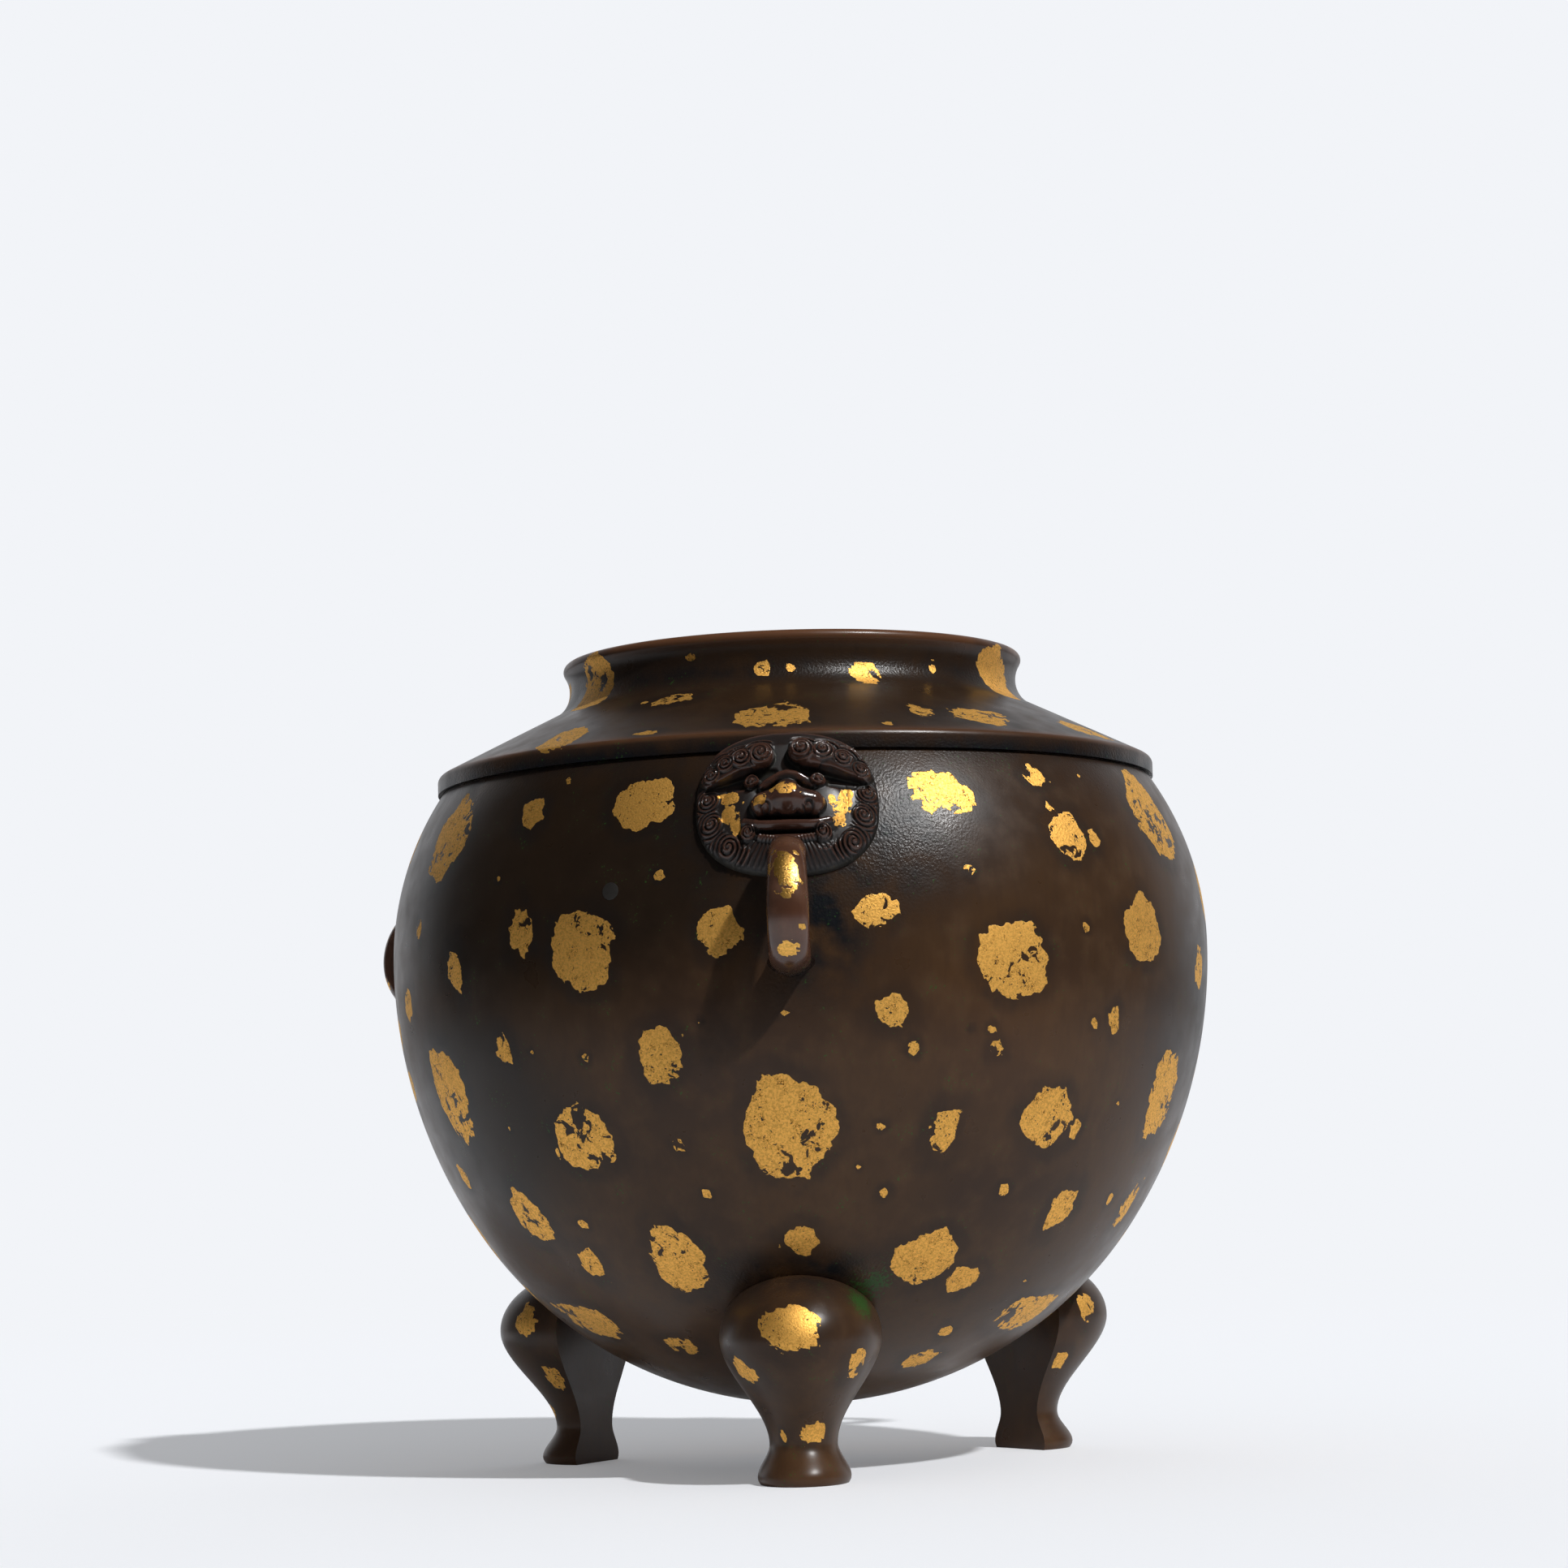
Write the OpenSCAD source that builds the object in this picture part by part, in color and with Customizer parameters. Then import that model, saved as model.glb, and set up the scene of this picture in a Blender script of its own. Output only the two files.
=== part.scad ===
// Tripod incense burner: a round cast bowl with a stepped shoulder and a flared neck,
// three cabriole legs and three lion masks that each hold a fixed loop handle.
// Millimetres, +Z up. The origin is on the bowl's axis, in the plane that the feet stand on.
// The front leg is at -Y.

/* [Bowl] */
// Largest radius of the bowl
belly_r = 100; // [97:0.5:103]
// Height of that largest radius above the feet
equator_z = 124; // [122:0.5:126]
// Height of the bowl's underside above the feet
bowl_bottom_z = 14.7; // [13:0.1:16]
// Radius of the arc that shapes the side below the equator
side_arc_r = 120; // [117:1:125]
// Radius of the arc that shapes the side above the equator
top_arc_r = 73; // [71:0.5:75]
// Wall thickness of the bowl
bowl_wall = 3.6; // [3.2:0.1:4.2]

/* [Shoulder and neck] */
// Height of the seam between bowl and shoulder
seam_z = 165.2; // [164.8:0.1:165.6]
// Radius of the shoulder's outer ledge
ledge_r = 88.4; // [88:0.1:89.4]
// Height of the ledge's upright band
ledge_h = 4.6; // [4.2:0.1:5]
// Radius of the neck at its waist
neck_r = 55.4; // [54:0.1:57]
// Radius of the hollow that turns the shoulder into the lip
neck_arc_r = 8; // [7.4:0.1:8.6]
// Height of the rim above the feet
rim_z = 197.2; // [196.6:0.1:198]
// Wall thickness of shoulder and neck
collar_wall = 3.2; // [2.8:0.1:3.6]

/* [Legs] */
// Turn of the left leg, mask and handle from the front ones, in degrees
left_turn = 115; // [113:0.5:120]
// Turn of the right leg, mask and handle from the front ones, in degrees
right_turn = 125; // [120:0.5:127]
// Distance of the legs' flat backs from the axis
leg_back_r = 61.5; // [60.5:0.1:62.5]
// Half width of the leg's knee
knee_half_w = 18.6; // [17:0.1:20]
// Half width of the leg's ankle
ankle_half_w = 7.8; // [7:0.1:9]
// Half width of the foot
foot_half_w = 10.7; // [10:0.1:12]
// Depth of the leg's rounded front over its half width
leg_depth_ratio = 1.36; // [1.3:0.01:1.42]

/* [Masks] */
// Turn of each mask and handle from the leg below it, in degrees
mask_turn = 1.1; // [0:0.1:2]
// Height of the masks' middle above the feet
mask_z = 151.5; // [151:0.1:152]
// Half width of a mask
mask_half_w = 20; // [19.5:0.1:20.5]
// Half height of a mask, along the wall
mask_half_h = 17.6; // [17.2:0.1:18]

/* [Handles] */
// Height of the handles' middle above the feet
handle_z = 128.2; // [127.8:0.1:128.6]
// Distance of the loop's middle from the axis
handle_r = 104.6; // [104:0.1:105.5]
// Radius of the loop's centre line
loop_r = 12.5; // [12:0.1:13]
// Width of the handle's band
band_w = 9.4; // [8.8:0.1:10]
// Thickness of the handle's band
band_t = 6.2; // [5.8:0.1:6.4]

/* [Hidden] */

bronze = [0.17, 0.13, 0.11];
dark_bronze = [0.13, 0.11, 0.10];
red_bronze = [0.22, 0.15, 0.12];
bare_bronze = [0.34, 0.24, 0.15];
stations = [0, -left_turn, right_turn];
fit_gap = 0.03;
arc_step = 4;

// Bowl profile: three arcs, each tangent to the next
side_arc_x = belly_r - side_arc_r;
top_arc_x = belly_r - top_arc_r;
belly_drop = equator_z - bowl_bottom_z;
base_arc_r = (side_arc_r ^ 2 - side_arc_x ^ 2 - belly_drop ^ 2) / (2 * (side_arc_r - belly_drop));
base_arc_z = bowl_bottom_z + base_arc_r;
base_arc_end = atan2(base_arc_z - equator_z, -side_arc_x);

// Shoulder and neck
lip_turn = 148;
neck_arc_x = neck_r + neck_arc_r;
neck_z = rim_z - (neck_arc_r + collar_wall / 2) * sin(lip_turn) - collar_wall / 2;
ledge_round = 1.6;
spigot_h = 2.6;
seam_r = top_arc_x + sqrt(top_arc_r ^ 2 - (seam_z - equator_z) ^ 2);
spigot_r = seam_r - bowl_wall / 2;

// Rivets and plug
leg_rivet_d = 5;
leg_rivet_slope = 46;
leg_rivet_deep = 10;
mask_rivet_d = 2.4;
mask_rivet_turn = 6.6;
mask_rivet_deep = 2.2;
tenon_d = 4.6;
band_round = 2.1;
plug_d = 4;
plug_turn = -22.8;
plug_z = 134;

// Leg heights, from the sole up, and the metal filed off under the sole
sole_stock = 1;
foot_z = 1.6;
ankle_z = 9;
knee_z = 33;
leg_top_z = 48.5;

// Curls of the mask, as seen from the front: [across, up, radius, lift, way of turning]
curls = [
  [-5.1, 10.4, 2.9, 4.4, 1], [-9.8, 9.6, 2.4, 4.0, 1], [-13.5, 8.9, 2.1, 3.4, 1], [-16.6, 6.6, 1.8, 2.6, 1],
  [3.8, 11.0, 2.9, 4.4, -1], [8.8, 10.8, 2.6, 4.2, -1], [13.0, 9.4, 2.2, 3.4, -1], [16.6, 7.0, 2.0, 2.8, -1],
  [-17.0, 0.6, 2.3, 2.4, -1], [-16.4, -5.0, 2.5, 2.4, -1], [-13.0, -10.6, 3.0, 2.6, -1],
  [17.0, 1.6, 2.3, 2.4, 1], [16.4, -3.9, 2.5, 2.4, 1], [13.8, -10.0, 3.0, 2.6, 1],
  [-8.4, -8.4, 1.9, 3.4, 1], [8.4, -8.6, 1.9, 3.4, -1]
];
// Rounded strands of the mask, each from one [across, up, radius, lift] to the next
strands = [
  [[-2.6, 7.0, 2.4, 3.8], [-9.5, 6.4, 2.7, 4.0], [-18.2, 4.4, 1.7, 1.8]],
  [[2.8, 7.2, 2.4, 3.8], [9.5, 6.6, 2.7, 4.0], [18.2, 4.6, 1.7, 1.8]],
  [[-5.2, 2.6, 1.3, 2.4], [-2, 4.2, 1.5, 3.4], [2.6, 4.2, 1.5, 3.4], [5.6, 2.6, 1.3, 2.4]],
  [[0.3, 1.6, 3.0, 5.0], [0.3, -3.8, 4.4, 7.0]],
  [[-1.5, -3.8, 3.2, 5.6], [-5.5, -4.6, 2.9, 4.8]],
  [[2.1, -3.8, 3.2, 5.6], [6.0, -4.6, 2.9, 4.8]],
  [[-8.2, -7.6, 1.5, 3.2], [-4, -8.8, 1.9, 4.2], [4, -8.9, 1.9, 4.2], [8.2, -7.9, 1.5, 3.2]]
];
// Single swellings: cheeks and eyeballs
swellings = [[-12.2, -3.2, 5.2, 1.7], [12.2, -3.2, 5.2, 1.7], [-7.6, 3.5, 2.2, 2.6], [7.6, 3.4, 2.2, 2.6]];
beard_middle = [0, -5];
mask_square = 2.4;
mask_columns = 50;
mask_rows = 44;

function arc(x, z, r, from, to, step = arc_step) =
  let (n = max(2, ceil(abs(to - from) / step)))
  [for (i = [0:n]) let (a = from + (to - from) * i / n) [x + r * cos(a), z + r * sin(a)]];

// Line of the bowl's outside moved outwards by grow, from the axis underneath to the angle end above
function bowl_line(grow, end) = concat(
  arc(0, base_arc_z, base_arc_r + grow, -90, base_arc_end),
  arc(side_arc_x, equator_z, side_arc_r + grow, base_arc_end, 0),
  arc(top_arc_x, equator_z, top_arc_r + grow, 0, end)
);

// Radius of the bowl's side at height z, and its backward lean above the equator
function wall_r(z) = z > equator_z
  ? top_arc_x + sqrt(top_arc_r ^ 2 - (z - equator_z) ^ 2)
  : side_arc_x + sqrt(side_arc_r ^ 2 - (z - equator_z) ^ 2);
function wall_lean(z) = asin((z - equator_z) / top_arc_r);

// Rises or falls from a to b between heights z0 and z1, level at both
function ease(a, b, z0, z1, z) = let (t = (z - z0) / (z1 - z0)) a + (b - a) * (3 - 2 * t) * t ^ 2;

// Half width of a leg at height z
function leg_half_w(z) =
  z < foot_z ? foot_half_w - 0.6 * (1 - z / foot_z) ^ 2 :
  z < ankle_z ? ease(foot_half_w, ankle_half_w, foot_z, ankle_z, z) :
  z < knee_z ? ease(ankle_half_w, knee_half_w, ankle_z, knee_z, z) :
  knee_half_w * sqrt(max(0, 1 - ((z - knee_z) / (leg_top_z - knee_z)) ^ 2));

// Height of the wall under a mask, below the plane that touches its middle
function wall_fall(u, v) = -(u ^ 2) * cos(wall_lean(mask_z)) / (2 * wall_r(mask_z)) - v ^ 2 / (2 * top_arc_r);

// Moves a piece drawn at +X to its place round the bowl
module turned(turn) rotate([0, 0, 270 + turn]) children();

// Frame on the bowl's wall at height z: X leaves the wall, Y runs round it and Z up it
module on_wall(z) translate([wall_r(z), 0, z]) rotate([0, -wall_lean(z), 0]) children();

// Frame that looks down a leg's rivet, from the middle of the bowl's base arc
module along_leg_rivet() translate([0, 0, base_arc_z]) rotate([0, leg_rivet_slope, 0]) children();

// Rod along +X from one place to another
module rod(from, to, d) translate([from, 0, 0]) rotate([0, 90, 0]) cylinder(h = to - from, d = d, $fn = 32);

// The bowl as a full body, to cut what sits on it
module bowl_body() {
  line = bowl_line(fit_gap, 50);
  rotate_extrude($fn = 180) polygon(concat(line, [[0, line[len(line) - 1][1]]]));
}

// Wall of the bowl, with a thinner spigot on top that the shoulder slips over
module bowl_wall_body() rotate_extrude($fn = 180) polygon(concat(
  bowl_line(0, wall_lean(seam_z)),
  [[spigot_r, seam_z], [spigot_r, seam_z + spigot_h], [seam_r - bowl_wall, seam_z + spigot_h]],
  [for (p = reverse_line(bowl_line(-bowl_wall, wall_lean(seam_z) + 1.2))) if (p[0] > 0.001) p],
  [[0, bowl_bottom_z + bowl_wall]]
));

function reverse_line(line) = [for (i = [len(line) - 1:-1:0]) line[i]];

module leg_rivet_hole() along_leg_rivet()
  rod(base_arc_r - bowl_wall - 5, base_arc_r + leg_rivet_deep + 0.2, leg_rivet_d + 2 * fit_gap);

module mask_rivet_holes() for (side = [-1, 1]) rotate([0, 0, mask_turn + side * mask_rivet_turn]) on_wall(mask_z)
  rod(-bowl_wall - 5, mask_rivet_deep + 0.2, mask_rivet_d + 2 * fit_gap);

module handle_tenon_holes() rotate([0, 0, mask_turn]) for (end = [-1, 1])
  translate([0, 0, handle_z + end * loop_r]) rod(wall_r(handle_z) - 12, handle_r, tenon_d + 2 * fit_gap);

module plug_rod(gap) turned(plug_turn) on_wall(plug_z) rod(-bowl_wall - 4, 4, plug_d + 2 * gap);

module bowl() color(bronze) difference() {
  bowl_wall_body();
  for (turn = stations) turned(turn) {
    leg_rivet_hole();
    mask_rivet_holes();
    handle_tenon_holes();
  }
  plug_rod(fit_gap);
}

// Plug that fills a core-pin hole in the wall, dressed flush on both faces
module casting_plug() color(dark_bronze) intersection() {
  plug_rod(0);
  bowl_wall_body();
}

// Shoulder and neck: a ledge over the bowl's rim, a sloping shoulder and a flared lip
module shoulder_collar() color(bronze) rotate_extrude($fn = 180) polygon(concat(
  [[spigot_r + fit_gap, seam_z + spigot_h + fit_gap], [spigot_r + fit_gap, seam_z], [ledge_r, seam_z]],
  arc(ledge_r - ledge_round, seam_z + ledge_h - ledge_round, ledge_round, 0, 90 - shoulder_lean(), 12),
  arc(neck_arc_x, neck_z, neck_arc_r, 270 - shoulder_lean(), lip_turn, 6),
  lip_round(),
  arc(neck_arc_x, neck_z, neck_arc_r + collar_wall, lip_turn, 270 - shoulder_lean(), 6),
  [[seam_r - bowl_wall, seam_z + spigot_h + 1.6], [seam_r - bowl_wall, seam_z + spigot_h + fit_gap]]
));

// Slope of the shoulder, so that it leaves the ledge's edge and enters the neck's hollow smoothly
function shoulder_lean() =
  let (
    run = ledge_r - ledge_round - neck_arc_x,
    rise = neck_z - (seam_z + ledge_h - ledge_round),
    reach = sqrt(run ^ 2 + rise ^ 2)
  )
  atan2(rise, run) - asin((neck_arc_r + ledge_round) / reach);

// Half round that closes the lip, from its outer to its inner edge
function lip_round() =
  let (
    r = neck_arc_r + collar_wall / 2,
    x = neck_arc_x + r * cos(lip_turn),
    z = neck_z + r * sin(lip_turn)
  )
  arc(x, z, collar_wall / 2, lip_turn - 180, lip_turn, 20);

// Leg: half oval section with a flat back, a top that is cut to sit on the bowl and a sole filed flat
module leg() color(bronze) difference() {
  translate([leg_back_r, 0, 0]) scale([leg_depth_ratio, 1, 1]) rotate([0, 0, -90])
    rotate_extrude(angle = 180, $fn = 96) polygon(concat(
      [[0, -sole_stock], [leg_half_w(0), -sole_stock]],
      [for (z = [0, foot_z / 2]) [leg_half_w(z), z]],
      [for (z = [foot_z:1.5:leg_top_z - 0.3]) [leg_half_w(z), z]],
      [[0, leg_top_z]]
    ));
  bowl_body();
  leg_rivet_hole();
  below_sole();
}

module below_sole() translate([leg_back_r - 1, -2 * foot_half_w, -2 * sole_stock])
  cube([4 * foot_half_w, 4 * foot_half_w, 2 * sole_stock]);

// Rivet through the bowl's wall into a leg, with its round head inside the bowl
module leg_rivet() color(bare_bronze) along_leg_rivet() {
  seat = base_arc_r - bowl_wall - 0.2;
  rod(seat - 1, base_arc_r + leg_rivet_deep, leg_rivet_d);
  dome(seat, 5.4, 3);
}

// Rivets through the bowl's wall into the back of a mask
module mask_rivets() color(bare_bronze)
  for (side = [-1, 1]) rotate([0, 0, mask_turn + side * mask_rivet_turn]) on_wall(mask_z) {
    rod(-bowl_wall - 1, mask_rivet_deep, mask_rivet_d);
    dome(-bowl_wall - 0.1, 2.7, 1.6);
  }

// Round rivet head on the plane x = seat, on the side of the bowl's axis
module dome(seat, r, h) {
  ball = (r ^ 2 + h ^ 2) / (2 * h);
  intersection() {
    translate([seat + ball - h, 0, 0]) sphere(ball, $fn = 48);
    rod(seat - h - 1, seat, 2 * r + 1);
  }
}

// Section of the handle's band, with rounded corners
module band_section(gap = 0) {
  x = band_t / 2 - band_round;
  y = band_w / 2 - band_round;
  r = band_round + gap;
  polygon(concat(
    arc(x, y, r, 0, 90, 15), arc(-x, y, r, 90, 180, 15),
    arc(-x, -y, r, 180, 270, 15), arc(x, -y, r, 270, 360, 15)
  ));
}

// Handle: half a ring between two straight ends that stop at the wall and carry round tenons
module handle() color(red_bronze) rotate([0, 0, mask_turn]) {
  difference() {
    handle_band();
    bowl_body();
  }
  for (end = [-1, 1]) translate([0, 0, handle_z + end * loop_r])
    rod(wall_r(handle_z + end * loop_r) - bowl_wall - 1.6, handle_r - 1, tenon_d);
}

module handle_band() {
  translate([handle_r, 0, handle_z]) rotate([90, 0, 0]) rotate([0, 0, -90])
    rotate_extrude(angle = 180, $fn = 96) translate([loop_r, 0]) band_section();
  for (end = [-1, 1]) translate([handle_r, 0, handle_z + end * loop_r])
    rotate([0, -90, 0]) linear_extrude(12) band_section();
}

// Rounded rise of a form at distance d from its middle
function swell(d, r) = d >= r ? 0 : sqrt(1 - (d / r) ^ 2);

// Share of the way from the mask's middle to its outline
function outline_share(u, v) =
  ((abs(u) / mask_half_w) ^ mask_square + (abs(v) / mask_half_h) ^ mask_square) ^ (1 / mask_square);

// Body of the mask: low at its outline, fuller in the middle, and raised where its top crosses the ledge
function mask_body(u, v) =
  let (s = min(1, outline_share(u, v)), t = max(0, min(1, (v - 6) / 10)))
  1.5 + 2.8 * (1 - s ^ 4) + 2.2 * t ^ 2;

function curl_rise(u, v, c) =
  let (d = norm([u - c[0], v - c[1]]), a = atan2(v - c[1], u - c[0]))
  d >= c[2] ? 0 : swell(d, c[2]) ^ 0.7 * (c[3] + 0.5 * cos(360 * d / c[2] * 1.3 - c[4] * a));

function strand_rise(u, v, p, q) =
  let (
    along = [q[0] - p[0], q[1] - p[1]],
    t = max(0, min(1, ([u - p[0], v - p[1]] * along) / (along * along))),
    d = norm([u, v] - [p[0], p[1]] - t * along)
  )
  (p[3] + t * (q[3] - p[3])) * swell(d, p[2] + t * (q[2] - p[2]));

// Locks of beard that fan out below the lip
function beard_rise(u, v) =
  let (d = norm([u, v] - beard_middle), a = atan2(u - beard_middle[0], beard_middle[1] - v))
  d < 4.5 || d > 12.5 || abs(a) > 62 ? 0 : 0.35 + 0.35 * cos(360 * a / 12);

// Height of the mask over the wall
function mask_relief(u, v) = mask_body(u, v) + max(concat(
  [for (c = curls) curl_rise(u, v, c)],
  [for (s = strands) for (i = [0:len(s) - 2]) strand_rise(u, v, s[i], s[i + 1])],
  [for (s = swellings) s[3] * swell(norm([u - s[0], v - s[1]]), s[2])],
  [beard_rise(u, v)]
));

// Place on the mask for a grid's column and row: the square grid is rounded to the mask's outline
function mask_place(i, j) =
  let (
    s = 2 * i / mask_columns - 1,
    t = 2 * j / mask_rows - 1,
    x = s * sqrt(1 - t ^ 2 / 2),
    y = t * sqrt(1 - s ^ 2 / 2),
    a = atan2(y, x),
    r = 1 / (abs(cos(a)) ^ mask_square + abs(sin(a)) ^ mask_square) ^ (1 / mask_square)
  )
  [mask_half_w * r * x, mask_half_h * r * y];

// Solid under the relief, closed by a flat back inside the bowl's wall
module mask_relief_body() {
  back = -4;
  columns = mask_columns + 1;
  places = [for (j = [0:mask_rows]) for (i = [0:mask_columns]) mask_place(i, j)];
  rim = concat(
    [for (i = [0:mask_columns - 1]) i],
    [for (j = [0:mask_rows - 1]) j * columns + mask_columns],
    [for (i = [mask_columns:-1:1]) mask_rows * columns + i],
    [for (j = [mask_rows:-1:1]) j * columns]
  );
  n = len(rim);
  m = len(places);
  polyhedron(
    concat(
      [for (p = places) [mask_relief(p[0], p[1]) + wall_fall(p[0], p[1]), p[0], p[1]]],
      [for (k = rim) [back, places[k][0], places[k][1]]]
    ),
    concat(
      [for (j = [0:mask_rows - 1]) for (i = [0:mask_columns - 1]) each let (a = j * columns + i, b = a + columns)
        [[a, b, b + 1], [a, b + 1, a + 1]]],
      [for (k = [0:n - 1]) each let (l = (k + 1) % n) [[rim[k], rim[l], m + k], [rim[l], m + l, m + k]]],
      [[for (k = [0:n - 1]) m + k]]
    )
  );
}

// Lion mask: a cast relief on the wall, with an opening under its lip for the handle's upper end
module mask() color(dark_bronze) difference() {
  rotate([0, 0, mask_turn]) on_wall(mask_z) mask_relief_body();
  bowl_body();
  mask_ledge_cut();
  mask_rivet_holes();
  rotate([0, 0, mask_turn]) mouth_opening();
}

module mouth_opening() translate([handle_r + 12, 0, handle_z + loop_r])
  rotate([0, -90, 0]) linear_extrude(26) band_section(0.1);

// Room for the shoulder's ledge behind the mask's top edge
module mask_ledge_cut() translate([0, 0, seam_z - fit_gap])
  cylinder(h = ledge_h + 4, r = ledge_r + fit_gap, $fn = 180);

bowl();
shoulder_collar();
casting_plug();
turned(0) leg();  // leg_front
turned(-left_turn) leg();  // leg_left
turned(right_turn) leg();  // leg_right
turned(0) leg_rivet();  // leg_rivet_front
turned(-left_turn) leg_rivet();  // leg_rivet_left
turned(right_turn) leg_rivet();  // leg_rivet_right
turned(0) mask();  // mask_front
turned(-left_turn) mask();  // mask_left
turned(right_turn) mask();  // mask_right
turned(0) mask_rivets();  // mask_rivets_front
turned(-left_turn) mask_rivets();  // mask_rivets_left
turned(right_turn) mask_rivets();  // mask_rivets_right
turned(0) handle();  // handle_front
turned(-left_turn) handle();  // handle_left
turned(right_turn) handle();  // handle_right
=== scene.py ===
import math
import random
from functools import partial

import bpy
import numpy as np
from mathutils import Matrix, Vector


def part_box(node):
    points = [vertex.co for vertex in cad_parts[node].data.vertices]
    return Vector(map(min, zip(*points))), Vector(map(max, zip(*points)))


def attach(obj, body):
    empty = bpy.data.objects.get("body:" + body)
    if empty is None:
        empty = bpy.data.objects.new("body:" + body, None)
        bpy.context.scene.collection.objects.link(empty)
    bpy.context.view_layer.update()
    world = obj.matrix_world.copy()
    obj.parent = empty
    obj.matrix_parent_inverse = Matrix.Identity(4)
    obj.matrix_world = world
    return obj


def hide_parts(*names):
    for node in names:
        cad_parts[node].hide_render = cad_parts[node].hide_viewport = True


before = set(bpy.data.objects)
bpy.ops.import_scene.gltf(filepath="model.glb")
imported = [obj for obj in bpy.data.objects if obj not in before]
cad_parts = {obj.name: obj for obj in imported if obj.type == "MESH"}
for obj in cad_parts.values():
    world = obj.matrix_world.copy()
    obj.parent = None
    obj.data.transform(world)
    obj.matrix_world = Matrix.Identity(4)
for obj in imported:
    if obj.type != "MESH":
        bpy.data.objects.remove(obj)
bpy.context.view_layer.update()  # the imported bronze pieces, fixed where the CAD put them
mm = 0.001
stations = {"front": 0, "left": -115, "right": 125}  # turn of each leg round the bowl, degrees
print("frame loaded,", len(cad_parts), "nodes")


# Colours are written as sRGB hex and used as linear values
def linear(hexText):
    parts = [int(hexText[i:i + 2], 16) / 255 for i in (1, 3, 5)]
    return [p / 12.92 if p <= 0.04045 else ((p + 0.055) / 1.055) ** 2.4 for p in parts] + [1]


# Adds a node to a tree, and gives the output that is asked for, or else the first one in use
def addNode(tree, kind, inputs=None, out=None, **settings):
    node = tree.nodes.new("ShaderNode" + kind)
    for name, value in settings.items():
        setattr(node, name, value)
    for name, value in (inputs or {}).items():
        if isinstance(value, bpy.types.NodeSocket):
            tree.links.new(value, node.inputs[name])
        else:
            node.inputs[name].default_value = value
    if out:
        return node.outputs[out]
    return next((each for each in node.outputs if each.enabled), None)


def newMaterial(name):
    material = bpy.data.materials.new(name)
    material.use_nodes = True
    material.node_tree.nodes.clear()
    return material, partial(addNode, material.node_tree)


def deselectAll():
    if bpy.context.object and bpy.context.object.mode != "OBJECT":
        bpy.ops.object.mode_set(mode="OBJECT")
    bpy.ops.object.select_all(action="DESELECT")


# A new object from one of Blender's own shapes, lamps or cameras
def startPiece(name, addShape, **settings):
    deselectAll()
    addShape(**settings)
    piece = bpy.context.object
    piece.name = piece.data.name = name
    return piece


def pick(piece):
    deselectAll()
    piece.select_set(True)
    bpy.context.view_layer.objects.active = piece


# One vertex drawn out along (x, z) points in millimetres, left open in edit mode
def traceLine(name, points):
    piece = startPiece(name, bpy.ops.mesh.primitive_plane_add, size=mm)
    bpy.ops.object.mode_set(mode="EDIT")
    bpy.ops.mesh.select_all(action="SELECT")
    bpy.ops.mesh.merge(type="CENTER")
    bpy.ops.transform.translate(value=(points[0][0] * mm, 0, points[0][1] * mm))
    for (x0, z0), (x1, z1) in zip(points, points[1:]):
        step = ((x1 - x0) * mm, 0, (z1 - z0) * mm)
        bpy.ops.mesh.extrude_region_move(TRANSFORM_OT_translate={"value": step})
    return piece


# Spins the traced line round the upright axis and closes its seam and poles
def spinLine(steps, turn):
    bpy.ops.mesh.select_all(action="SELECT")
    bpy.ops.mesh.spin(steps=steps, angle=turn, center=(0, 0, 0), axis=(0, 0, 1))
    bpy.ops.mesh.select_all(action="SELECT")
    bpy.ops.mesh.remove_doubles(threshold=0.002 * mm)
    bpy.ops.mesh.normals_make_consistent(inside=False)


# Turns all faces outwards and leaves edit mode
def faceOutwards():
    bpy.ops.mesh.select_all(action="SELECT")
    bpy.ops.mesh.normals_make_consistent(inside=False)
    bpy.ops.object.mode_set(mode="OBJECT")


def selectOpenEdges():
    bpy.ops.mesh.select_all(action="DESELECT")
    bpy.ops.mesh.select_non_manifold()


def smoothEdges(piece, degrees):
    pick(piece)
    bpy.ops.object.shade_smooth_by_angle(angle=math.radians(degrees))


# Values held between 0 and 1
def unit(values):
    return np.clip(values, 0, 1)


def arcPoints(x, z, radius, start, end, step):
    count = max(2, math.ceil(abs(math.radians(end - start)) * radius / step))
    turns = np.radians(np.linspace(start, end, count + 1))
    return [(x + radius * math.cos(a), z + radius * math.sin(a)) for a in turns]


def vertexPlaces(piece):
    places = np.zeros(len(piece.data.vertices) * 3)
    piece.data.vertices.foreach_get("co", places)
    return places.reshape(-1, 3) / mm


def vertexNormals(piece):
    normals = np.zeros(len(piece.data.vertices) * 3)
    piece.data.vertex_normals.foreach_get("vector", normals)
    return normals.reshape(-1, 3)


def setPlaces(piece, places):
    piece.data.vertices.foreach_set("co", (places * mm).astype(np.float32).ravel())
    piece.data.update()


def setAttributes(piece, **marks):
    for name, values in marks.items():
        attribute = piece.data.attributes.new(name, "FLOAT", "POINT")
        attribute.data.foreach_set("value", values.astype(np.float32))


def finishPiece(piece, node, slot, *materials):
    for material in materials:
        piece.data.materials.append(material)
    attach(piece, "root")
    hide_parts(node)


# Matrix that takes a piece drawn at +X to its turn round the bowl, where 0 is the front
def turnedTo(turn):
    return np.array(Matrix.Rotation(math.radians(270 + turn), 3, "Z"))


# Copies a draft once for each leg's place, each with its own mesh, and then drops the draft
def copiesRound(draft, name):
    for side, turn in stations.items():
        piece = draft.copy()
        piece.data = draft.data.copy()
        piece.name = piece.data.name = name + side.capitalize()
        bpy.context.collection.objects.link(piece)
        yield side, turn, piece
    bpy.data.objects.remove(draft)


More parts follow.
